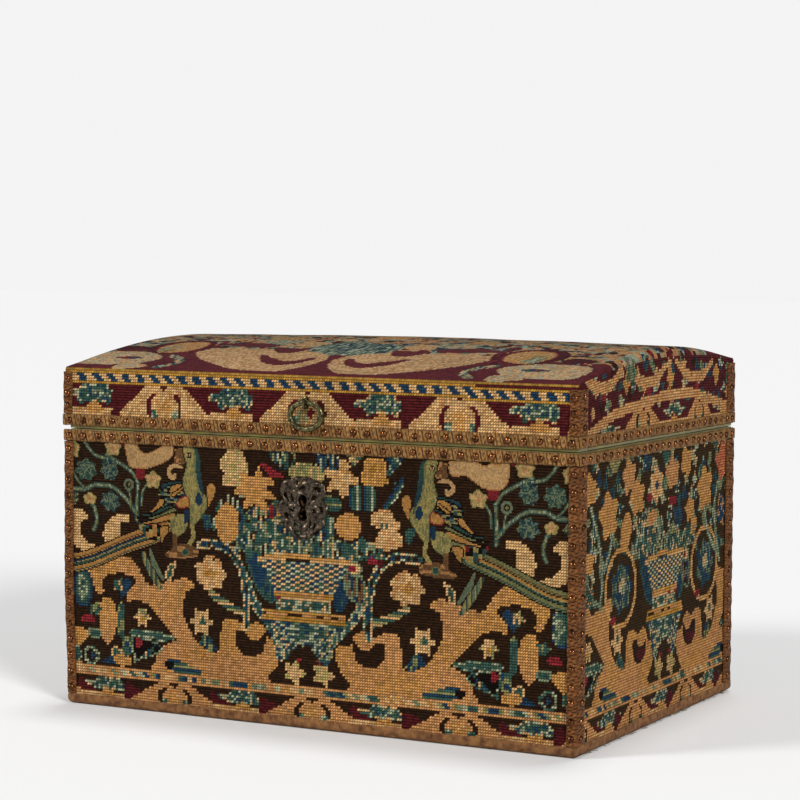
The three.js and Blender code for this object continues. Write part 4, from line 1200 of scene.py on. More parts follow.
def ribbed_silk(tree, shader):
    """Silk lining, yellow-green: weft ribs 0.7 mm apart catch the light, over soft puckers."""
    noise = two_tone(tree, shader, "#584d13", "#746920", 26, (1, 1, 0.3), 2.0)
    place = add_node(tree, "ShaderNodeTexCoord").outputs["Object"]
    ribs = add_node(tree, "ShaderNodeTexWave", {"Scale": WAVES / (0.7 * MM), "Distortion": 1.5,
                                                "Detail": 2.0},
                    {"Vector": place}, bands_direction="DIAGONAL")
    set_shader(shader, Roughness=0.42, Sheen_Weight=0.15, Specular_IOR_Level=0.5)
    puckers = add_node(tree, "ShaderNodeBump", {"Strength": 0.6, "Distance": 2.5 * MM},
                       {"Height": noise})
    add_node(tree, "ShaderNodeBump", {"Strength": 0.45, "Distance": 0.15 * MM},
             {"Height": ribs.outputs[0], "Normal": puckers.outputs[0]}, shader.inputs["Normal"])


def linen_tape(tree, shader):
    """Linen twill tape, brown: slanting wales 0.9 mm apart, paler in patches."""
    two_tone(tree, shader, "#573826", "#8c633c", 4)
    place = add_node(tree, "ShaderNodeTexCoord").outputs["Object"]
    turn = add_node(tree, "ShaderNodeMapping", {"Rotation": (0.6, 0.6, 0.9)}, {"Vector": place})
    wales = add_node(tree, "ShaderNodeTexWave", {"Scale": WAVES / (0.9 * MM), "Distortion": 2.0},
                     {"Vector": turn.outputs[0]})
    set_shader(shader, Roughness=0.9, Sheen_Weight=0.03, Specular_IOR_Level=0.08)
    add_node(tree, "ShaderNodeBump", {"Strength": 0.7, "Distance": 0.25 * MM},
             {"Height": wales.outputs[0]}, shader.inputs["Normal"])


def coarse_linen(tree, shader):
    """Unbleached linen, plain woven: crossing threads 0.8 mm apart, drawn coarser than real."""
    two_tone(tree, shader, "#6d5a3e", "#a08a66", 6)
    place = add_node(tree, "ShaderNodeTexCoord").outputs["Object"]
    warp, weft = (add_node(tree, "ShaderNodeTexWave", {"Scale": WAVES / (0.8 * MM)},
                           {"Vector": place}, bands_direction=way).outputs[1] for way in "XY")
    weave = add_node(tree, "ShaderNodeMath", links={0: warp, 1: weft}, operation="MAXIMUM")
    set_shader(shader, Roughness=0.9, Sheen_Weight=0.2, Specular_IOR_Level=0.3)
    add_node(tree, "ShaderNodeBump", {"Strength": 0.6, "Distance": 0.2 * MM},
             {"Height": weave.outputs[0]}, shader.inputs["Normal"])


def keyhole_shade_iron(tree, shader):
    """Iron inside the lock and the keyhole, painted nearly black and quite dull: painted shade for the
    dark inside of the keyhole.
    """
    two_tone(tree, shader, "#060403", "#120b07", 2)
    set_shader(shader, Roughness=0.95, Specular_IOR_Level=0.05)


def aged_metal(low, high, roughness, grain=2, relief=0.12):
    """A metal with tarnish in patches, which are also rougher."""
    def finish(tree, shader):
        noise = two_tone(tree, shader, low, high, grain)
        add_node(tree, "ShaderNodeMapRange", {"From Min": 0.3, "From Max": 0.7,
                                              "To Min": roughness[0], "To Max": roughness[1]},
                 {"Value": noise}, shader.inputs["Roughness"])
        set_shader(shader, Metallic=0.92)
        add_node(tree, "ShaderNodeBump", {"Strength": 0.35, "Distance": relief * MM},
                 {"Height": noise}, shader.inputs["Normal"])
    return finish


FINISHES = {
    "wool": ("wool_tent_stitch", worn_wool), "braid": ("woven_galloon", galloon),
    "wood": ("planed_oak", oak_wood), "silk": ("ribbed_silk", ribbed_silk),
    "tape": ("twill_tape", linen_tape), "linen": ("plain_linen", coarse_linen),
    "keyhole_shade": ("keyhole_shade_iron", keyhole_shade_iron),
    # Wrought iron, oiled and browned: dark, with dull glints in patches
    "iron": ("browned_iron", aged_metal("#0f0b08", "#635648", (0.5, 0.24))),
    # Cast bronze with a green-brown patina, brighter in patches
    "bronze": ("patinated_bronze", aged_metal("#242316", "#77704a", (0.5, 0.24))),
    # Sheet brass, dulled
    "brass": ("dull_brass", aged_metal("#6b4d22", "#a8834a", (0.5, 0.32))),
    # Stamped nail heads of brass, browned to copper: shiny and dull in patches
    "nail": ("coppery_brass", aged_metal("#3a1f0f", "#8f5c36", (0.34, 0.17), 6, 0.05)),
}


def material_for(key):
    """Each finish is made once, and found by its name after that."""
    name, finish = FINISHES[key]
    return bpy.data.materials.get(name) or new_material(name, finish)


# Panels of the chest

def panel_grid(low, high, pitch):
    """Corners of half stitches over a flat panel, as many as fit evenly."""
    count = 2 * np.maximum(np.round((np.array(high) - low) / pitch).astype(int), 1)
    return np.meshgrid(np.linspace(low[0], high[0], count[0] + 1),
                       np.linspace(low[1], high[1], count[1] + 1))


def keyhole_shape(grow=0.0):
    """The keyhole: a round head and foot joined by a slot, grown outwards."""
    low, high = box_mm("escutcheon")
    x, z = (low[0] + high[0]) / 2, (low[2] + high[2]) / 2
    points = [(x - 1.1, z), (x - 2.4, z + 2.8), (x - 2.6, z + 5.6), (x, z + 7.5),
              (x + 2.6, z + 5.6), (x + 2.4, z + 2.8), (x + 1.1, z), (x + 2.6, z - 3.4),
              (x + 2.8, z - 6), (x, z - 7.5), (x - 2.8, z - 6), (x - 2.6, z - 3.4)]
    curve = closed_curve(points, 4)
    middle = np.array([x, z])
    away = curve - middle
    return middle + away * (1 + grow / np.maximum(np.hypot(*away.T), 1e-6))[:, None]


def body_panel(side, design, seed, along, sign, ground):
    """One flat panel: a grid that stands on its side of the chest, waves slowly and is backed.

    It runs along X (0) or Y (1), and faces along the other one by the sign. Its corners stand out by
    a sum of crossed sines and by each stitch's crown, and move sideways by 0.35 mm of the same."""
    node, out_axis = "needlework_" + side, 1 - along
    low, high = box_mm(node)
    turned = (sign > 0) == (along == 0)
    across, up = panel_grid((low[along], low[2]), (high[along], high[2]), size_of("stitch") / MM)
    chart = Chart(-across if turned else across, up, ground, seed)
    design(Pen(chart))
    crown = size_of("stitch_rise") / MM + 0.05
    swell = (smooth_noise(across, up, seed) - 1) * size_of("padding") / MM / 2
    wave = 0.35 * smooth_noise(up * 1.3, across * 1.1, seed + 2)
    edge = np.minimum(np.abs(across - low[along]), np.abs(across - high[along])) / 20
    points = np.zeros(across.shape + (3,))
    points[..., along], points[..., 2] = across + wave * np.clip(edge, 0, 1), up
    points[..., out_axis] = sign * (abs((low, high)[sign > 0][out_axis]) - crown + swell)
    outward = sign * np.eye(3)[out_axis]
    hole = patch(keyhole_shape(0.9), sharp=True)
    holes = hole.test(*chart.places[True]) if side == "front" else None
    points, faces, colours, places = worked(chart, points, outward, turned, holes)
    depth = high[out_axis] - low[out_axis] - crown - size_of("padding") / MM
    points, walls, back = backed(points, faces, -outward * depth, [along, 2])
    if side == "front":
        back = back[~hole.test(*(points[back].sum(1)[:, [along, 2]] / 3).T)]
    # The cut walls, round the keyhole too, and the back are the ground wool at half strength: painted
    # shade
    rest = walls.size + back.size
    piece = needlework("case_cover_" + side, node, points, [*faces, *walls, *back],
                       np.vstack([colours, np.tile(wool("earth") * 0.5, (rest, 1))]),
                       np.vstack([places, np.zeros((rest, 2))]))
    stretched(piece, f"carcase_{side}_board")


class CASKET_OT_case_needlework(bpy.types.Operator):
    """Work the four panels of the case"""
    bl_idname = "casket.case_needlework"
    bl_label = "Case needlework"

    def execute(self, context):
        body_panel("front", front_chart, 1.0, 0, -1, "earth")
        body_panel("back", front_chart, 2.0, 0, 1, "earth")
        body_panel("right", end_chart, 3.0, 1, 1, "umber")
        body_panel("left", end_chart, 4.0, 1, -1, "umber")
        return {"FINISHED"}


# The lid's cover

LID = dict(front=37.0, back=43.0, rise=16.2, sag=2.2, shoulder=1.7, end=6.0)


def share_across(y):
    return (y + COVER_Y) / (2 * COVER_Y)


def swell_share(y):
    return 4 * share_across(y) * (1 - share_across(y))


def arch_height(y):
    """The lid's section: a straight line between the shoulders with a parabolic swell."""
    line_up = LID["front"] + (LID["back"] - LID["front"]) * share_across(y)
    return LID_LOW[2] + line_up + LID["rise"] * swell_share(y)


LID_DUST_AND_SHEEN = 1.36, 1.44, 1.7  # the crown's wools are brighter, red least: faded and dusty, with a painted sheen of the top seen at a grazing angle
FLAP_CROWN = 0.6  # the share of a stitch's crown that the folded sides keep


def lid_profile(count):
    """Points along the top from the front shoulder to the back one, evenly spaced."""
    half, r = COVER_Y, LID["shoulder"]
    t = np.linspace(0, 1, 12)[:, None]

    def turn(a, corner, b):
        return (1 - t) ** 2 * a + 2 * t * (1 - t) * corner + t ** 2 * b
    ys = np.linspace(-half + r, half - r, 240)
    arch = np.stack([ys, arch_height(ys)], 1)
    front = turn(np.array([-half, arch_height(-half) - r]), np.array([-half, arch_height(-half)]),
                 arch[0])
    back = turn(arch[-1], np.array([half, arch_height(half)]),
                np.array([half, arch_height(half) - r]))
    path = np.vstack([front[:-1], arch, back[1:]])
    far = np.concatenate([[0], np.cumsum(np.hypot(*np.diff(path, axis=0).T))])
    even = np.linspace(0, far[-1], count + 1)
    return np.stack([np.interp(even, far, path[:, k]) for k in (0, 1)], 1), far[-1]


def lowered(x, y, z):
    """Lowers the top towards the ends: a slow sag, and a quarter turn over the last stretch."""
    past = np.clip(np.abs(x) - COVER_X + LID["end"], 0, LID["end"])
    turn = LID["end"] - np.sqrt(LID["end"] ** 2 - past ** 2)
    drop = (turn + LID["sag"] * (x / COVER_X) ** 2) * swell_share(y)
    return z - drop * (z - LID_LOW[2]) / (arch_height(y) - LID_LOW[2])


def lid_normals(points):
    """Outward directions of a grid of points, from its two sets of neighbours."""
    normal = np.cross(np.gradient(points, axis=1), np.gradient(points, axis=0))
    return normal / np.maximum(np.linalg.norm(normal, axis=2), 1e-9)[..., None]


def lid_top(place, xs, profile, depth):
    """The top: the profile carried along the lid, lowered towards the ends, swelling slowly by a sum
    of crossed sines, with each stitch's crown along the surface's own normals."""
    crown = size_of("stitch_rise") / MM
    rows, columns = len(profile) - 1, len(xs) // 2
    across, up = np.meshgrid(place, np.linspace(0, depth, rows + 1))
    chart = Chart(across, up, "burgundy", 5.0)
    lid_top_chart(Pen(chart), depth)
    x, y = np.broadcast_arrays(xs[None, :], profile[:, :1])
    z = lowered(x, y, np.broadcast_to(profile[:, 1:], x.shape))
    points = np.stack([x, y, z], -1)
    calm = np.clip(np.minimum(COVER_X - np.abs(x), COVER_Y - np.abs(y)) / 14, 0, 1)
    points = points - lid_normals(points) * (
        (1 - smooth_noise(x, y, 5.0)) * calm * size_of("padding") / MM)[..., None]
    normals = lid_normals(points)
    rise = stitch_rise(chart) * crown
    points = (points + normals * (rise - crown * (rise > 0))[..., None])[:, ::2]
    faces = grid_faces(rows, columns)
    # Each stitch's painted shade, then the crown brightened by fading, dust and a painted sheen
    shades = painted_stitch_shades(chart)
    colours = chart.worn()[:, ::2, None, :] * np.stack(
        [shades[:, ::2, 0], shades[:, 1::2, 1], shades[:, 1::2, 2], shades[:, ::2, 3]],
        -1)[..., None] * LID_DUST_AND_SHEEN
    piece = needlework("lid_cover_top", "lid_needlework", points, faces, colours,
                       unit_grid(rows, columns)[faces])
    stretched(piece, "lid_top_board", flat=(2 * float(place[-1]) * MM, depth * MM))


def lid_sides(place, xs, profile):
    """The four sides, folded down: upright grids under the front, back and end edges of the top."""
    pitch = size_of("stitch") / MM
    parts = []
    for sign, design, seed in ((-1, lid_front_chart, 6.0), (1, lid_back_chart, 7.0)):
        top = arch_height(sign * COVER_Y) - LID["shoulder"]
        heights = np.linspace(LID_LOW[2], top, 2 * round((top - LID_LOW[2]) / pitch) + 1)
        x, z = np.meshgrid(xs, heights)
        chart = Chart(np.meshgrid(place, heights)[0] * -sign, z, "burgundy", seed)
        design(Pen(chart))
        flap = np.stack([x, np.full_like(x, sign * COVER_Y), z], -1)
        parts.append(worked(chart, flap, np.array([0, sign * FLAP_CROWN, 0]), sign > 0))
    for sign, seed in ((-1, 8.0), (1, 9.0)):
        y = profile[:, 0]
        tops = lowered(np.full_like(y, COVER_X), y, profile[:, 1]) - LID_LOW[2]
        y, share = np.meshgrid(y, np.linspace(0, 1, 2 * round(tops.max() / pitch) + 1))
        z = LID_LOW[2] + tops * share
        chart = Chart(y * sign, z, "burgundy", seed)
        lid_end_chart(Pen(chart))
        flap = np.stack([np.full_like(y, sign * COVER_X), y, z], -1)
        parts.append(worked(chart, flap, np.array([sign * FLAP_CROWN, 0, 0]), sign < 0))
    points, faces, colours, places = zip(*parts)
    starts = np.cumsum([0] + [len(part) for part in points])
    tiles = (0, 0), (1, 0), (0, 1), (1, 1)
    piece = needlework(
        "lid_cover_sides", "lid_needlework", np.vstack(points),
        np.vstack([part + start for part, start in zip(faces, starts)]), np.vstack(colours),
        np.vstack([(part * 0.96 + 0.02 + tile) / 2 for part, tile in zip(places, tiles)]))
    stretched(piece, "lid_front_rail", "lid_back_rail", "lid_left_end", "lid_right_end",
              flat=(4 * (COVER_X + COVER_Y) * MM, (top - LID_LOW[2]) * MM))


def lid_cover():
    """The cover in two pieces that meet along the folds. Along the lid the places of its stitches
    are even on the cloth, and their x follows the quarter turn at each end."""
    pitch = size_of("stitch") / MM
    over = math.pi / 2 * LID["end"]
    flat_half = COVER_X - LID["end"]
    half_across = flat_half + over
    columns = 2 * round(2 * half_across / pitch / 2)
    profile, depth = lid_profile(2 * round(lid_profile(10)[1] / pitch))
    place = np.linspace(-half_across, half_across, 2 * columns + 1)
    bend = np.clip(np.abs(place) - flat_half, 0, over) / LID["end"]
    xs = np.sign(place) * (np.minimum(np.abs(place), flat_half) + LID["end"] * np.sin(bend))
    xs[0], xs[-1] = -COVER_X, COVER_X
    lid_top(place, xs, profile, depth)
    lid_sides(place, xs, profile)


class CASKET_OT_lid_needlework(bpy.types.Operator):
    """Work the lid's cover, folded down all round"""
    bl_idname = "casket.lid_needlework"
    bl_label = "Lid needlework"

    def execute(self, context):
        lid_cover()
        return {"FINISHED"}


# Braid and nails

class Strip(namedtuple("Strip", "start end side out width thick")):
    """A strip of braid: its middle line, the ways across it and out of it, and its size."""

    @property
    def length(self):
        return np.linalg.norm(self.end - self.start)

    @property
    def along(self):
        return (self.end - self.start) / self.length


def strip_from(low, high, out):
    """The strip that fills a box and faces outwards."""
    low, high, out = np.array(low, float), np.array(high, float), np.array(out, float)
    flat = np.flatnonzero(out == 0)
    spans = high - low
    long_axis = flat[np.argmax(spans[flat])]
    side_axis = flat[flat != long_axis][0]
    thick = spans[np.flatnonzero(out)[0]]
    base = (low + high) / 2 - out * thick / 2
    start, end = base.copy(), base.copy()
    start[long_axis], end[long_axis] = low[long_axis], high[long_axis]
    side = np.zeros(3)
    side[side_axis] = 1
    return Strip(start, end, side, out, spans[side_axis], thick)


def braid_mesh(strip, seed):
    """A plaited strip: a shallow crowned section carried along it, with slanting ridges.

    Across it u runs from -1 to 1 and the height falls as 1 - 0.3 u^6; the ridges are the larger
    of two crossing sines, and both edges waver."""
    length = strip.length
    steps = max(int(length / 0.8), 4)
    s = np.linspace(0, length, steps + 1)[:, None]
    u = np.array([-1, -0.86, -0.6, -0.3, 0, 0.3, 0.6, 0.86, 1.0])[None, :]
    pitch = size_of("braid_thread") / MM
    phase = 2 * np.pi * s / pitch + 0.8 * np.sin(s / 6.1 + seed) + 0.5 * np.sin(s / 2.3 - seed)
    plait = np.maximum(np.sin(phase + 2.6 * u), np.sin(1.37 * phase - 3.4 * u + 1.4))
    plait = plait + 0.35 * np.sin(s * 5.1 + 9 * u + seed) * np.cos(s / 1.7 - 4 * u)
    waver = 0.18 * np.sin(s / 3.1 + seed) + 0.12 * np.sin(s / 1.3 + 2 * seed)
    crown = strip.thick * (1 - 0.3 * np.abs(u) ** 6) - 0.16 + 0.14 * plait
    crown[:, [0, -1]] = 0.12
    offset = u * (strip.width / 2 - 0.12) + np.sign(u) * waver * (np.abs(u) > 0.8)
    top = (strip.start + s[..., None] * strip.along + offset[..., None] * strip.side
           + crown[..., None] * strip.out)
    ends = top[:, [-1, 0]] - crown[:, [-1, 0], None] * strip.out
    # Painted shade of the plait: highlight on the ridges, shade in the furrows; edges and walls get a
    # fixed darker painted shade
    shade = np.clip(0.46 + 0.5 * plait, 0, 1.1) ** 2.2
    shade[:, [0, -1]] = 0.4
    shade = np.concatenate([shade, np.full((steps + 1, 2), 0.35)], 1)
    return np.concatenate([top, ends], 1), shade


def tube_quads(rings, count, closed=False):
    """Quads from each ring of corners to the next, and from the last to the first if closed."""
    first = np.arange(rings if closed else rings - 1)[:, None] * count
    here, after = np.arange(count), (np.arange(count) + 1) % count
    quads = np.stack([first + here, first + after, first + count + after, first + count + here], -1)
    return quads.reshape(-1, 4) % (rings * count)


def tube_faces(rings, count, turned):
    """The quads of a tube, with a cap at each end."""
    faces = tube_quads(rings, count).tolist()
    faces += [list(range(count))[::-1], list(range((rings - 1) * count, rings * count))]
    return [f[::-1] for f in faces] if turned else faces


# Each braid's pale colour, for the painted highlight on its ridges, and its deep one, for the painted
# shade in its plait
RIM_HEXES, CORNER_HEXES = ("#9e7241", "#22150a"), ("#82522c", "#1c0d05")


def braid_piece(node, strips, body):
    """One or more strips as one piece, with a painted highlight on the ridges and painted shade in the
    plait.
    """
    points, faces, colours, start = [], [], [], 0
    pale, deep = (linear(value) for value in (CORNER_HEXES if "corner" in node else RIM_HEXES))
    for k, strip in enumerate(strips):
        seed = float(np.sum(strip.start) / 37 + k)
        rings, shade = braid_mesh(strip, seed)
        turned = np.dot(np.cross(strip.along, strip.side), strip.out) > 0
        part = tube_faces(*rings.shape[:2], turned)
        tone = deep + (pale - deep) * np.clip(shade, 0, 1.1)[..., None]
        length = np.arange(len(rings))[:, None, None] * 0.8
        tone = tone * (1 + 0.12 * np.sin(length / 7 + seed) + 0.08 * np.sin(length / 2.3))
        tone = tone.reshape(-1, 3)
        colours += [tone[i] for face in part for i in face]
        faces += [[i + start for i in face] for face in part]
        points.append(rings.reshape(-1, 3))
        start += rings.size // 3
    piece = mesh_piece("laid_" + node, np.vstack(points), faces, "braid")
    add_colours(piece, np.array(colours))
    placed(piece, body, "braid", node)


NAIL_MARGIN, NAIL_PITCH = 4.5, 10.2


def nail_centres(strip):
    """Where a strip's nails stand, as the frame has them: even gaps near the pitch."""
    run = strip.length - 2 * NAIL_MARGIN
    gaps = max(round(run / NAIL_PITCH), 1)
    share = (NAIL_MARGIN + run * np.arange(gaps + 1) / gaps) / strip.length
    return strip.start + share[:, None] * (strip.end - strip.start) + strip.out * strip.thick


def nails_mesh(strips, seed):
    """Domed heads: rings of a low dome round each centre, a little turned and moved by hand."""
    draw = np.random.default_rng(int(seed))
    sides, heights = 10, np.array([-0.3, 0.3, 0.7, 0.94])
    radii = np.array([1.0, 0.96, 0.72, 0.36])
    radius, rise = size_of("nail_head") / MM, size_of("nail_rise") / MM
    turn = 2 * np.pi * np.arange(sides) / sides
    body, last = tube_quads(len(heights), sides).tolist(), (len(heights) - 1) * sides
    points, faces, start = [], [], 0
    for strip in strips:
        along = strip.along
        handed = np.dot(np.cross(strip.side, along), strip.out) > 0
        first, second = (strip.side, along) if handed else (along, strip.side)
        snug = 0.72 if strip.out[1] > 0 and strip.side[2] else 1.0  # at the hinges, as in the frame
        for centre in nail_centres(strip):
            size = radius * draw.uniform(0.9, 1.06) * snug
            centre = centre + along * draw.uniform(-0.7, 0.7) + strip.side * draw.uniform(-.4, .4)
            tilt = draw.uniform(-0.12, 0.12, 2)
            circle = np.cos(turn)[:, None] * first + np.sin(turn)[:, None] * second
            lift = heights[:, None] * rise + (circle @ first * tilt[0] + circle @ second * tilt[1])
            lift = lift * snug
            dome = centre + radii[:, None, None] * size * circle + lift[..., None] * strip.out
            points += [dome.reshape(-1, 3), (centre + strip.out * rise * snug)[None]]
            crown = [[last + k, last + (k + 1) % sides, last + sides] for k in range(sides)]
            head = body + crown + [list(range(sides))[::-1]]
            faces += [[corner + start for corner in face] for face in head]
            start += len(heights) * sides + 1
    return np.vstack(points), faces


# Sizes of the braid, as the frame has them: its thickness, the corner strips' width in front and
# their width on the ends, and how far the end strips stay behind the front ones' faces
THICK, CORNER_FRONT, CORNER_END, STEP_BACK = 1.2, 7, 12, 1.4


def rim_strips(prefix, fray):
    """The four strips round one rim, by node. They fray up or down, less at the ends than in front,
    and not at the back, where the hinges are."""
    inner = CAD_Y - STEP_BACK
    z = np.array([corner[2] for corner in box_mm(prefix + "_left")])
    for side, way, loose in (("front", -1, 1), ("back", 1, 0)):
        y0, y1 = sorted((way * CAD_Y, way * (CAD_Y - THICK)))
        low, high = z + np.multiply(fray, loose)
        yield f"{prefix}_{side}", strip_from((-CAD_X, y0, low), (CAD_X, y1, high), (0, way, 0))
    low, high = z + np.multiply(fray, 0.4)
    for side, way in (("left", -1), ("right", 1)):
        x0, x1 = sorted((way * (CAD_X - THICK), way * CAD_X))
        yield f"{prefix}_{side}", strip_from((x0, -inner, low), (x1, inner, high), (way, 0, 0))


def all_strips():
    """Every strip of braid by the node that it stands for, with the body that it rides on.

    The rims' braid frays by up to 0.7 mm towards the gap."""
    strips = {}
    for prefix, body, fray in (("top_braid", "case", (0, 0.7)), ("lid_rim_braid", "lid", (-0.7, 0))):
        for node, strip in rim_strips(prefix, fray):
            strips[node] = [strip], body
    inner = CAD_Y - STEP_BACK
    for prefix, body in (("corner_braid", "case"), ("lid_corner_braid", "lid")):
        for side, way in (("left", -1), ("right", 1)):
            x0, x1 = sorted((way * (CAD_X - CORNER_FRONT), way * CAD_X))
            end0, end1 = sorted((way * (CAD_X - THICK), way * CAD_X))
            front, back = f"{prefix}_front_{side}", f"{prefix}_back_{side}"
            low, high = (corner[2] for corner in box_mm(front))
            strips[front] = [strip_from((x0, -CAD_Y, low), (x1, -CAD_Y + THICK, high),
                                        (0, -1, 0))], body
            strips[f"{prefix}_{side}_front"] = [
                strip_from((end0, -inner, low), (end1, -inner + CORNER_END, high), (way, 0, 0))], body
            low, high = (corner[2] for corner in box_mm(back))
            strips[back] = [
                strip_from((x0, CAD_Y - THICK, low), (x1, CAD_Y, high), (0, 1, 0)),
                strip_from((end0, inner - CORNER_END, low), (end1, CAD_Y - THICK, high),
                           (way, 0, 0))], body
    return strips


class CASKET_OT_braid(bpy.types.Operator):
    """Lay the braid round the rims and down the corners, and nail it"""
    bl_idname = "casket.braid"
    bl_label = "Braid and nails"

    def execute(self, context):
        strips = all_strips()
        for node, (parts, body) in strips.items():
            braid_piece(node, parts, body)
        for body, seed in (("case", 11), ("lid", 12)):
            mine = [s for parts, at in strips.values() if at == body for s in parts]
            placed(mesh_piece(f"{body}_nail_heads", *nails_mesh(mine, seed), "nail"), body, "brass")
        return {"FINISHED"}


# Tape, linen, silk and wood

def base_tape():
    """The tape round the foot: a section carried round the four sides, as rings of corners.

    The section runs down the face, round under the edge as a quarter circle and back up inside. Its
    face bulges and its upper edge wavers by sines of the place along it."""
    low, high = box_mm("base_tape")
    top, foot = high[2], low[2]
    turn, r = np.linspace(0, math.pi / 2, 6), 3.2
    section = np.vstack([
        [(-1.9, top - 0.1), (-0.35, top + 0.1), (0, top - 0.5), (0, top - 2)],
        np.stack([-r + r * np.cos(turn), foot + r - r * np.sin(turn)], 1),
        [(-r - 1.6, foot), (-r - 1.6, foot + 0.7), (-1.9, foot + 3)]])
    corners = np.array([(-1, -1), (1, -1), (1, 1), (-1, 1)], float)
    places, ways = [], []
    for a, b, steps in zip(corners, np.roll(corners, -1, 0), (120, 86, 120, 86)):
        t = np.arange(steps)[:, None] / steps
        out = np.array([b[1] - a[1], a[0] - b[0]]) / 2
        places.append((a + (b - a) * t) * high[:2])
        ways.append(np.where(t == 0, a, out))
    place, way = np.vstack(places)[:, None], np.vstack(ways)[:, None]
    far = place[..., 0] / 11 + place[..., 1] / 13
    bulge = 0.35 * np.sin(1.7 * far) * (section[:, 1] > foot + 1) * (section[:, 0] > -1)
    flat = place + (section[:, 0] + bulge)[..., None] * way
    waver = (0.3 * np.sin(far) + 0.2 * np.sin(3.7 * far)) * (section[:, 1] > top - 1)
    rings = np.concatenate([flat, (section[:, 1] + waver)[..., None]], -1)
    piece = mesh_piece("wrapped_base_tape", rings, tube_quads(*rings.shape[:2], True), "tape")
    fix_normals(piece)
    placed(piece, "case", "tape", "base_tape")


def linen_sheet():
    """The linen under the case, and the loose threads that its raw edge has shed at the right end.

    The sheet is a grid whose height waves by a quarter of a millimetre; a thread is a three-sided
    tube along a short arc."""
    low, high = box_mm("underside_linen")
    x, y = np.meshgrid(np.linspace(low[0], high[0], 73), np.linspace(low[1], high[1], 53))
    wave = 0.12 * smooth_noise(x, y, 9.0) + 0.15
    lower = np.stack([x, y, low[2] + wave], -1).reshape(-1, 3)
    upper = np.stack([x, y, np.full_like(x, high[2])], -1).reshape(-1, 3)
    faces = grid_faces(52, 72)
    edges = boundary_of(faces)
    walls = np.concatenate([edges[:, ::-1], edges + len(lower)], 1)
    faces = np.vstack([faces[:, ::-1], faces + len(lower), walls[:, [1, 0, 2, 3]][:, ::-1]])
    cloth = mesh_piece("linen_underside", np.vstack([lower, upper]), faces, "linen")
    fix_normals(cloth)
    placed(cloth, "case", "linen", "underside_linen")

    draw = np.random.default_rng(31)
    count, steps = 44, 5
    t = np.linspace(0, 1, steps)[None, :, None]
    foot = np.stack([np.full(count, high[0] - 1), draw.uniform(-118, 118, count),
                     draw.uniform(0.3, 0.7, count)], -1)[:, None]
    reach = np.stack([draw.uniform(2.2, 4.6, count), draw.uniform(-4, 4, count),
                      np.zeros(count)], -1)[:, None]
    bend = np.array([0, 1.5, 0]) * np.sin(3 * t) * draw.uniform(-1, 1, (count, 1, 1))
    path = foot + reach * t + bend
    around = np.array([[0, 0.16, 0.1], [0, -0.16, 0.1], [0, 0, -0.18]])
    rings = path[:, :, None] + around
    tube = np.array(tube_faces(steps, 3, False)[:-2])
    every = (tube + (np.arange(count) * steps * 3)[:, None, None]).reshape(-1, 4)
    threads = mesh_piece("linen_threads", rings, every, "linen")
    fix_normals(threads)
    placed(threads, "case", "linen")
    stretched(cloth, "carcase_bottom_board", with_pieces=[threads])


class CASKET_OT_foot(bpy.types.Operator):
    """Wrap the tape round the foot and close the bottom with linen"""
    bl_idname = "casket.foot"
    bl_label = "Base tape and linen"

    def execute(self, context):
        base_tape()
        linen_sheet()
        return {"FINISHED"}


def fix_normals(piece):
    """Turns every face outwards, after its doubles are merged."""
    def change(shape):
        bmesh.ops.remove_doubles(shape, verts=shape.verts, dist=0.001 * MM)
        bmesh.ops.recalc_face_normals(shape, faces=shape.faces)
    reshaped(piece.data, change)


def eased_copy(node, name, round_by):
    """A node's own shape with its sharp edges eased."""
    def change(shape):
        bmesh.ops.remove_doubles(shape, verts=shape.verts, dist=0.01 * MM)
        bmesh.ops.dissolve_limit(shape, angle_limit=math.radians(1), verts=shape.verts,
                                 edges=shape.edges)
    piece = linked(name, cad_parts[node].data.copy())
    reshaped(piece.data, change)
    piece.data.polygons.foreach_set("use_smooth", np.zeros(len(piece.data.polygons), bool))
    bevel = piece.modifiers.new("eased", "BEVEL")
    bevel.width, bevel.segments, bevel.limit_method = round_by * MM, 3, "ANGLE"
    bevel.angle_limit = math.radians(35)
    bevel.use_clamp_overlap = True
    return piece


LINING_ROUND = 0.85


class CASKET_OT_silk(bpy.types.Operator):
    """Line the case and the lid, with the silk rounded over the rims"""
    bl_idname = "casket.silk"
    bl_label = "Silk lining"

    def execute(self, context):
        for node in sorted(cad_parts):
            if "lining_" not in node:
                continue
            body, side = ("lid" if node.startswith("lid_") else "case"), node.split("_")[-1]
            lid_boards = {"left": "lid_left_end", "right": "lid_right_end", "top": "lid_top_board"}
            board = (lid_boards.get(side, f"lid_{side}_rail") if body == "lid"
                     else f"carcase_{side}_board".replace("floor", "bottom"))
            silk = eased_copy(node, "silk_" + node, LINING_ROUND)
            finish(silk, "silk")
            stretched(placed(silk, body, "silk", node), board)
        return {"FINISHED"}


class CASKET_OT_wood(bpy.types.Operator):
    """Finish the boards"""
    bl_idname = "casket.wood"
    bl_label = "Boards"

    def execute(self, context):
        for node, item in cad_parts.items():
            if node.startswith("carcase_") or node.endswith(("_rail", "_end", "_top_board")):
                finish(item, "wood")
        return {"FINISHED"}


def finish(piece, key):
    piece.data.materials.clear()
    piece.data.materials.append(material_for(key))


# Metalwork

PLATE_RIM = [(0, 18.5), (8, 17), (14, 14.5), (15.5, 9), (13.5, 5), (16.8, 2), (16.5, -3), (14, -6),
             (15, -10), (10, -13), (6, -17), (0, -19)]


def reach_at(turn, outline):
    """How far an outline lies from its middle at each turn."""
    angle = np.arctan2(outline[:, 1], outline[:, 0]) % (2 * np.pi)
    order = np.argsort(angle)
    return np.interp(turn, angle[order], np.hypot(*outline.T)[order], period=2 * np.pi)


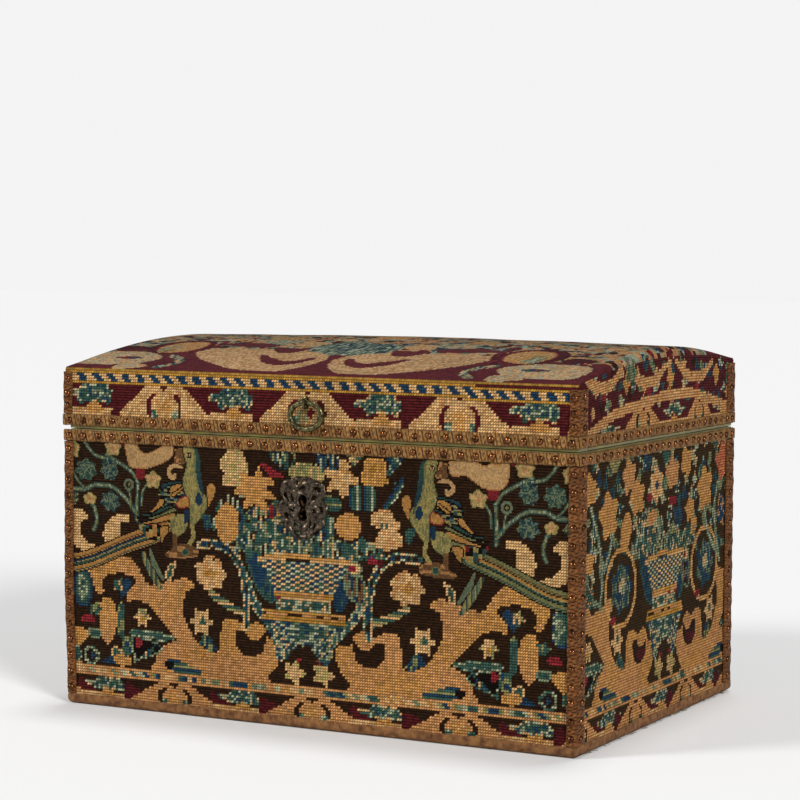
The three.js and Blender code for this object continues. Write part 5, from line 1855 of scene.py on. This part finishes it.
def escutcheon_plate():
    """A cast and pierced plate between the keyhole and its waisted outline, and the hole's lining.

    The share t runs from the keyhole to the rim. The height is a bead round the hole near t = 0,
    a row of bosses near t = 1 and scrolls between, made of crossed sines of the turn and t. The
    first rings are carried back into the board as a short tube."""
    low, high = box_mm("escutcheon")
    centre, half = (low + high)[[0, 2]] / 2, (high - low)[[0, 2]] / 2
    sides, rings, lobes = 168, 34, 14
    turn = np.linspace(0, 2 * np.pi, sides, endpoint=False)
    direction = np.stack([np.cos(turn), np.sin(turn)], 1)
    right = np.array(PLATE_RIM) / (17.0, 19.0) * half
    outline = closed_curve(np.vstack([right, right[-2:0:-1] * (-1, 1)]), 8)
    hole = direction * reach_at(turn, keyhole_shape(0.4) - centre)[:, None]
    narrow = direction * reach_at(turn, keyhole_shape(-0.3) - centre)[:, None]
    lobe = np.abs(np.cos(lobes * turn / 2))
    rim = direction * (reach_at(turn, outline) * (0.955 + 0.04 * lobe))[:, None]
    t = np.linspace(0, 1, rings + 1)[:, None]
    flat = centre + hole * (1 - t[..., None]) + rim * t[..., None]
    bead = np.exp(-((t - 0.085) / 0.055) ** 2) * size_of("rim_bead") / MM
    near_boss = np.hypot((t - 0.88) / 0.1, np.sin(lobes * turn / 2) / 1.15)
    bosses = np.clip(1 - near_boss ** 2, 0, 1) ** 0.5
    swirl = np.sin(lobes / 2 * turn + 7 * t) * np.sin(3.2 * np.pi * t + 0.6)
    leaves = np.sin(lobes * turn - 11 * t) * np.exp(-((t - 0.5) / 0.2) ** 2)
    chased = 0.45 * swirl + 0.22 * np.sin(21 * turn + 15 * t) * np.sin(9 * np.pi * t)
    height = 0.3 + bead + 1.2 * bosses + chased * (t > 0.16)
    height = np.clip(height + 0.35 * leaves, 0.1, 1.6) - 0.5 * (near_boss < 0.22)
    pierced = (swirl < -0.6) & (t > 0.24) & (t < 0.78)
    points = np.stack([flat[..., 0], low[1] + 1.1 - height * 0.9, flat[..., 1]], -1)
    lock_face = -box_mm("lock_case")[0][1] + 0.1
    back = np.array([lock_face, COVER_Y - 2.2, COVER_Y - 1.6, COVER_Y + 0.4])[:, None]
    lining = centre + np.stack([narrow, narrow, hole, hole])
    tube = np.stack(np.broadcast_arrays(lining[..., 0], -back, lining[..., 1]), -1)
    faces = tube_quads(4 + len(points), sides).reshape(-1, sides, 4)
    open_at = np.zeros((4 + len(points) - 1, sides), bool)
    either = pierced[:-1] | pierced[1:]
    open_at[4:] = either & np.roll(either, -1, 1)
    piece = mesh_piece("pierced_escutcheon", np.concatenate([tube, points]), faces[~open_at], "iron")
    # The keyhole's lining takes the near-black iron: painted shade inside the hole
    piece.data.materials.append(material_for("keyhole_shade"))
    lining_faces = np.arange(len(piece.data.polygons)) < 3 * sides
    piece.data.polygons.foreach_set("material_index", lining_faces.astype(int))
    reshaped(piece.data, lambda shape: bmesh.ops.delete(
        shape, geom=[v for v in shape.verts if not v.link_faces], context="VERTS"))
    if piece.data.polygons[-1].normal.y > 0:
        piece.data.flip_normals()
    solid = piece.modifiers.new("plate", "SOLIDIFY")
    solid.thickness, solid.offset = 0.9 * MM, -1
    placed(piece, "case", "iron", "escutcheon")


def ring_mesh(low, high):
    """A bent wire in a box: a circle carried round an upright oval, its radius knurled on the way."""
    segments, sides, knurl = 120, 14, 0.09
    wire = high[1] - low[1]
    width, _, height = (high - low) / 2 - wire / 2
    turn = np.linspace(0, 2 * np.pi, segments, endpoint=False)[:, None]
    around = np.linspace(0, 2 * np.pi, sides, endpoint=False)[None, :]
    path = np.cos(turn) * width * (1, 0, 0) + np.sin(turn) * height * np.array([0, 0, 1.0])
    slope = -np.sin(turn) * width * (1, 0, 0) + np.cos(turn) * height * np.array([0, 0, 1.0])
    slope /= np.linalg.norm(slope, axis=1)[:, None]
    normal = np.array([0, -1.0, 0])
    outward = np.cross(slope, normal)
    radius = wire / 2 * (1 - knurl + knurl * np.cos(9 * turn * 2 + around)
                         * np.cos(2 * around + 5 * turn))
    rings = (low + high) / 2 + path[:, None] + radius[..., None] * (
        np.cos(around)[..., None] * outward[:, None] + np.sin(around)[..., None] * normal)
    return rings, tube_quads(segments, sides, True)


class CASKET_OT_ironwork(bpy.types.Operator):
    """Set the pierced escutcheon, and finish the lock's pieces"""
    bl_idname = "casket.ironwork"
    bl_label = "Escutcheon and lock"

    def execute(self, context):
        escutcheon_plate()
        for node in ("lock_case", "lock_bolt", "lock_spring", "lock_staple"):
            # The lock's pieces behind the keyhole, all but the staple, are near-black painted shade
            finish(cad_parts[node], "iron" if node == "lock_staple" else "keyhole_shade")
        return {"FINISHED"}


class CASKET_OT_pull(bpy.types.Operator):
    """Hang the ring pull in its eye"""
    bl_idname = "casket.pull"
    bl_label = "Ring pull"

    def execute(self, context):
        ring_piece = mesh_piece("oval_pull", *ring_mesh(*box_mm("pull_ring")), "bronze")
        fix_normals(ring_piece)
        placed(ring_piece, "ring_pull", "bronze", "pull_ring")
        finish(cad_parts["ring_staple"], "bronze")
        return {"FINISHED"}


class CASKET_OT_hinges(bpy.types.Operator):
    """Finish the hinges and their pins"""
    bl_idname = "casket.hinges"
    bl_label = "Hinges"

    def execute(self, context):
        for node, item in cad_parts.items():
            if node.startswith("hinge_"):
                finish(item, "brass")
        return {"FINISHED"}


# The stage

def sun_light(name, source, strength):
    """A large far box of light, so that its strength is the same all over the stage."""
    data = bpy.data.lights.new(name, "SUN")
    data.energy, data.angle = strength, math.radians(15)
    linked(name, data).rotation_euler = (-Vector(source)).to_track_quat("-Z", "Y").to_euler()


def pale_paper(tree, shader):
    """Matt pale paper, a little brighter to the camera so that it meets the background."""
    seen = add_node(tree, "ShaderNodeLightPath").outputs["Is Camera Ray"]
    add_node(tree, "ShaderNodeMapRange", {"To Min": 0.0, "To Max": 0.06}, {"Value": seen},
             shader.inputs["Emission Strength"])
    set_shader(shader, Base_Color=(0.78, 0.78, 0.78, 1), Roughness=0.95, Specular_IOR_Level=0.1,
               Emission_Color=(1, 1, 1, 1))


class CASKET_OT_stage(bpy.types.Operator):
    """Lay the floor, and set the lights and the camera"""
    bl_idname = "casket.stage"
    bl_label = "Stage"

    def execute(self, context):
        studio = context.scene.casket_studio
        floor_mesh = bpy.data.meshes.new("floor")
        reach = 12.0
        floor_mesh.from_pydata([(-reach, -reach, 0), (reach, -reach, 0), (reach, reach, 0),
                                (-reach, reach, 0)], [], [(0, 1, 2, 3)])
        floor_mesh.materials.append(new_material("pale_paper", pale_paper))
        floor = linked("floor", floor_mesh)

        world = bpy.data.worlds.new("studio")
        context.scene.world = world
        world.use_nodes = True
        tree = world.node_tree
        tree.nodes.clear()
        seen = add_node(tree, "ShaderNodeLightPath").outputs["Is Camera Ray"]
        glow = add_node(tree, "ShaderNodeBackground", {"Color": (1, 1, 1, 1)})
        add_node(tree, "ShaderNodeMapRange", {"To Min": 0.2, "To Max": 0.9}, {"Value": seen},
                 glow.inputs["Strength"])
        add_node(tree, "ShaderNodeOutputWorld", links={"Surface": glow.outputs[0]})
        context.scene.view_settings.view_transform = "Standard"
        sun_light("left box", (-0.62, -0.64, 0.46), 1.65)
        sun_light("right box", (0.75, -0.5, 0.43), 2.2)
        sun_light("top", (0.0, 0.2, 1.0), 1.2)

        a, e, roll = studio.azimuth, studio.elevation, studio.roll
        back = Vector((math.sin(a) * math.cos(e), -math.cos(a) * math.cos(e), math.sin(e)))
        right = Vector((math.cos(a), math.sin(a), 0))
        up = back.cross(right)
        turned_right = math.cos(roll) * right + math.sin(roll) * up
        turned_up = -math.sin(roll) * right + math.cos(roll) * up
        lens = bpy.data.cameras.new("view")
        lens.lens, lens.sensor_width = studio.lens, 36.0
        camera = linked("view", lens)
        matrix = Matrix((turned_right, turned_up, back)).transposed().to_4x4()
        matrix.translation = Vector(studio.place)
        camera.matrix_world = matrix
        context.scene.camera = camera
        return {"FINISHED"}


class CASKET_PT_panel(bpy.types.Panel):
    """The casket's steps, in order"""
    bl_label = "Needlework casket"
    bl_idname = "CASKET_PT_panel"
    bl_space_type = "VIEW_3D"
    bl_region_type = "UI"
    bl_category = "Casket"

    def draw(self, context):
        for step in STEPS:
            self.layout.operator(step.bl_idname)
        for group in ("casket_sizes", "casket_wools", "casket_studio"):
            holder = getattr(context.scene, group)
            for name in holder.__annotations__:
                self.layout.prop(holder, name)


GROUPS = {"casket_sizes": CasketSizes, "casket_wools": CasketWools, "casket_studio": CasketStudio}
STEPS = (CASKET_OT_case_needlework, CASKET_OT_lid_needlework, CASKET_OT_braid, CASKET_OT_foot,
         CASKET_OT_silk, CASKET_OT_wood, CASKET_OT_ironwork, CASKET_OT_pull, CASKET_OT_hinges,
         CASKET_OT_stage)


def register():
    for item in (*GROUPS.values(), *STEPS, CASKET_PT_panel):
        bpy.utils.register_class(item)
    for name, group in GROUPS.items():
        setattr(bpy.types.Scene, name, PointerProperty(type=group))


def unregister():
    for name in GROUPS:
        delattr(bpy.types.Scene, name)
    for item in reversed((*GROUPS.values(), *STEPS, CASKET_PT_panel)):
        bpy.utils.unregister_class(item)


def main():
    register()
    for step in STEPS:
        group, name = step.bl_idname.split(".")
        getattr(getattr(bpy.ops, group), name)()


if __name__ == "__main__":
    main()
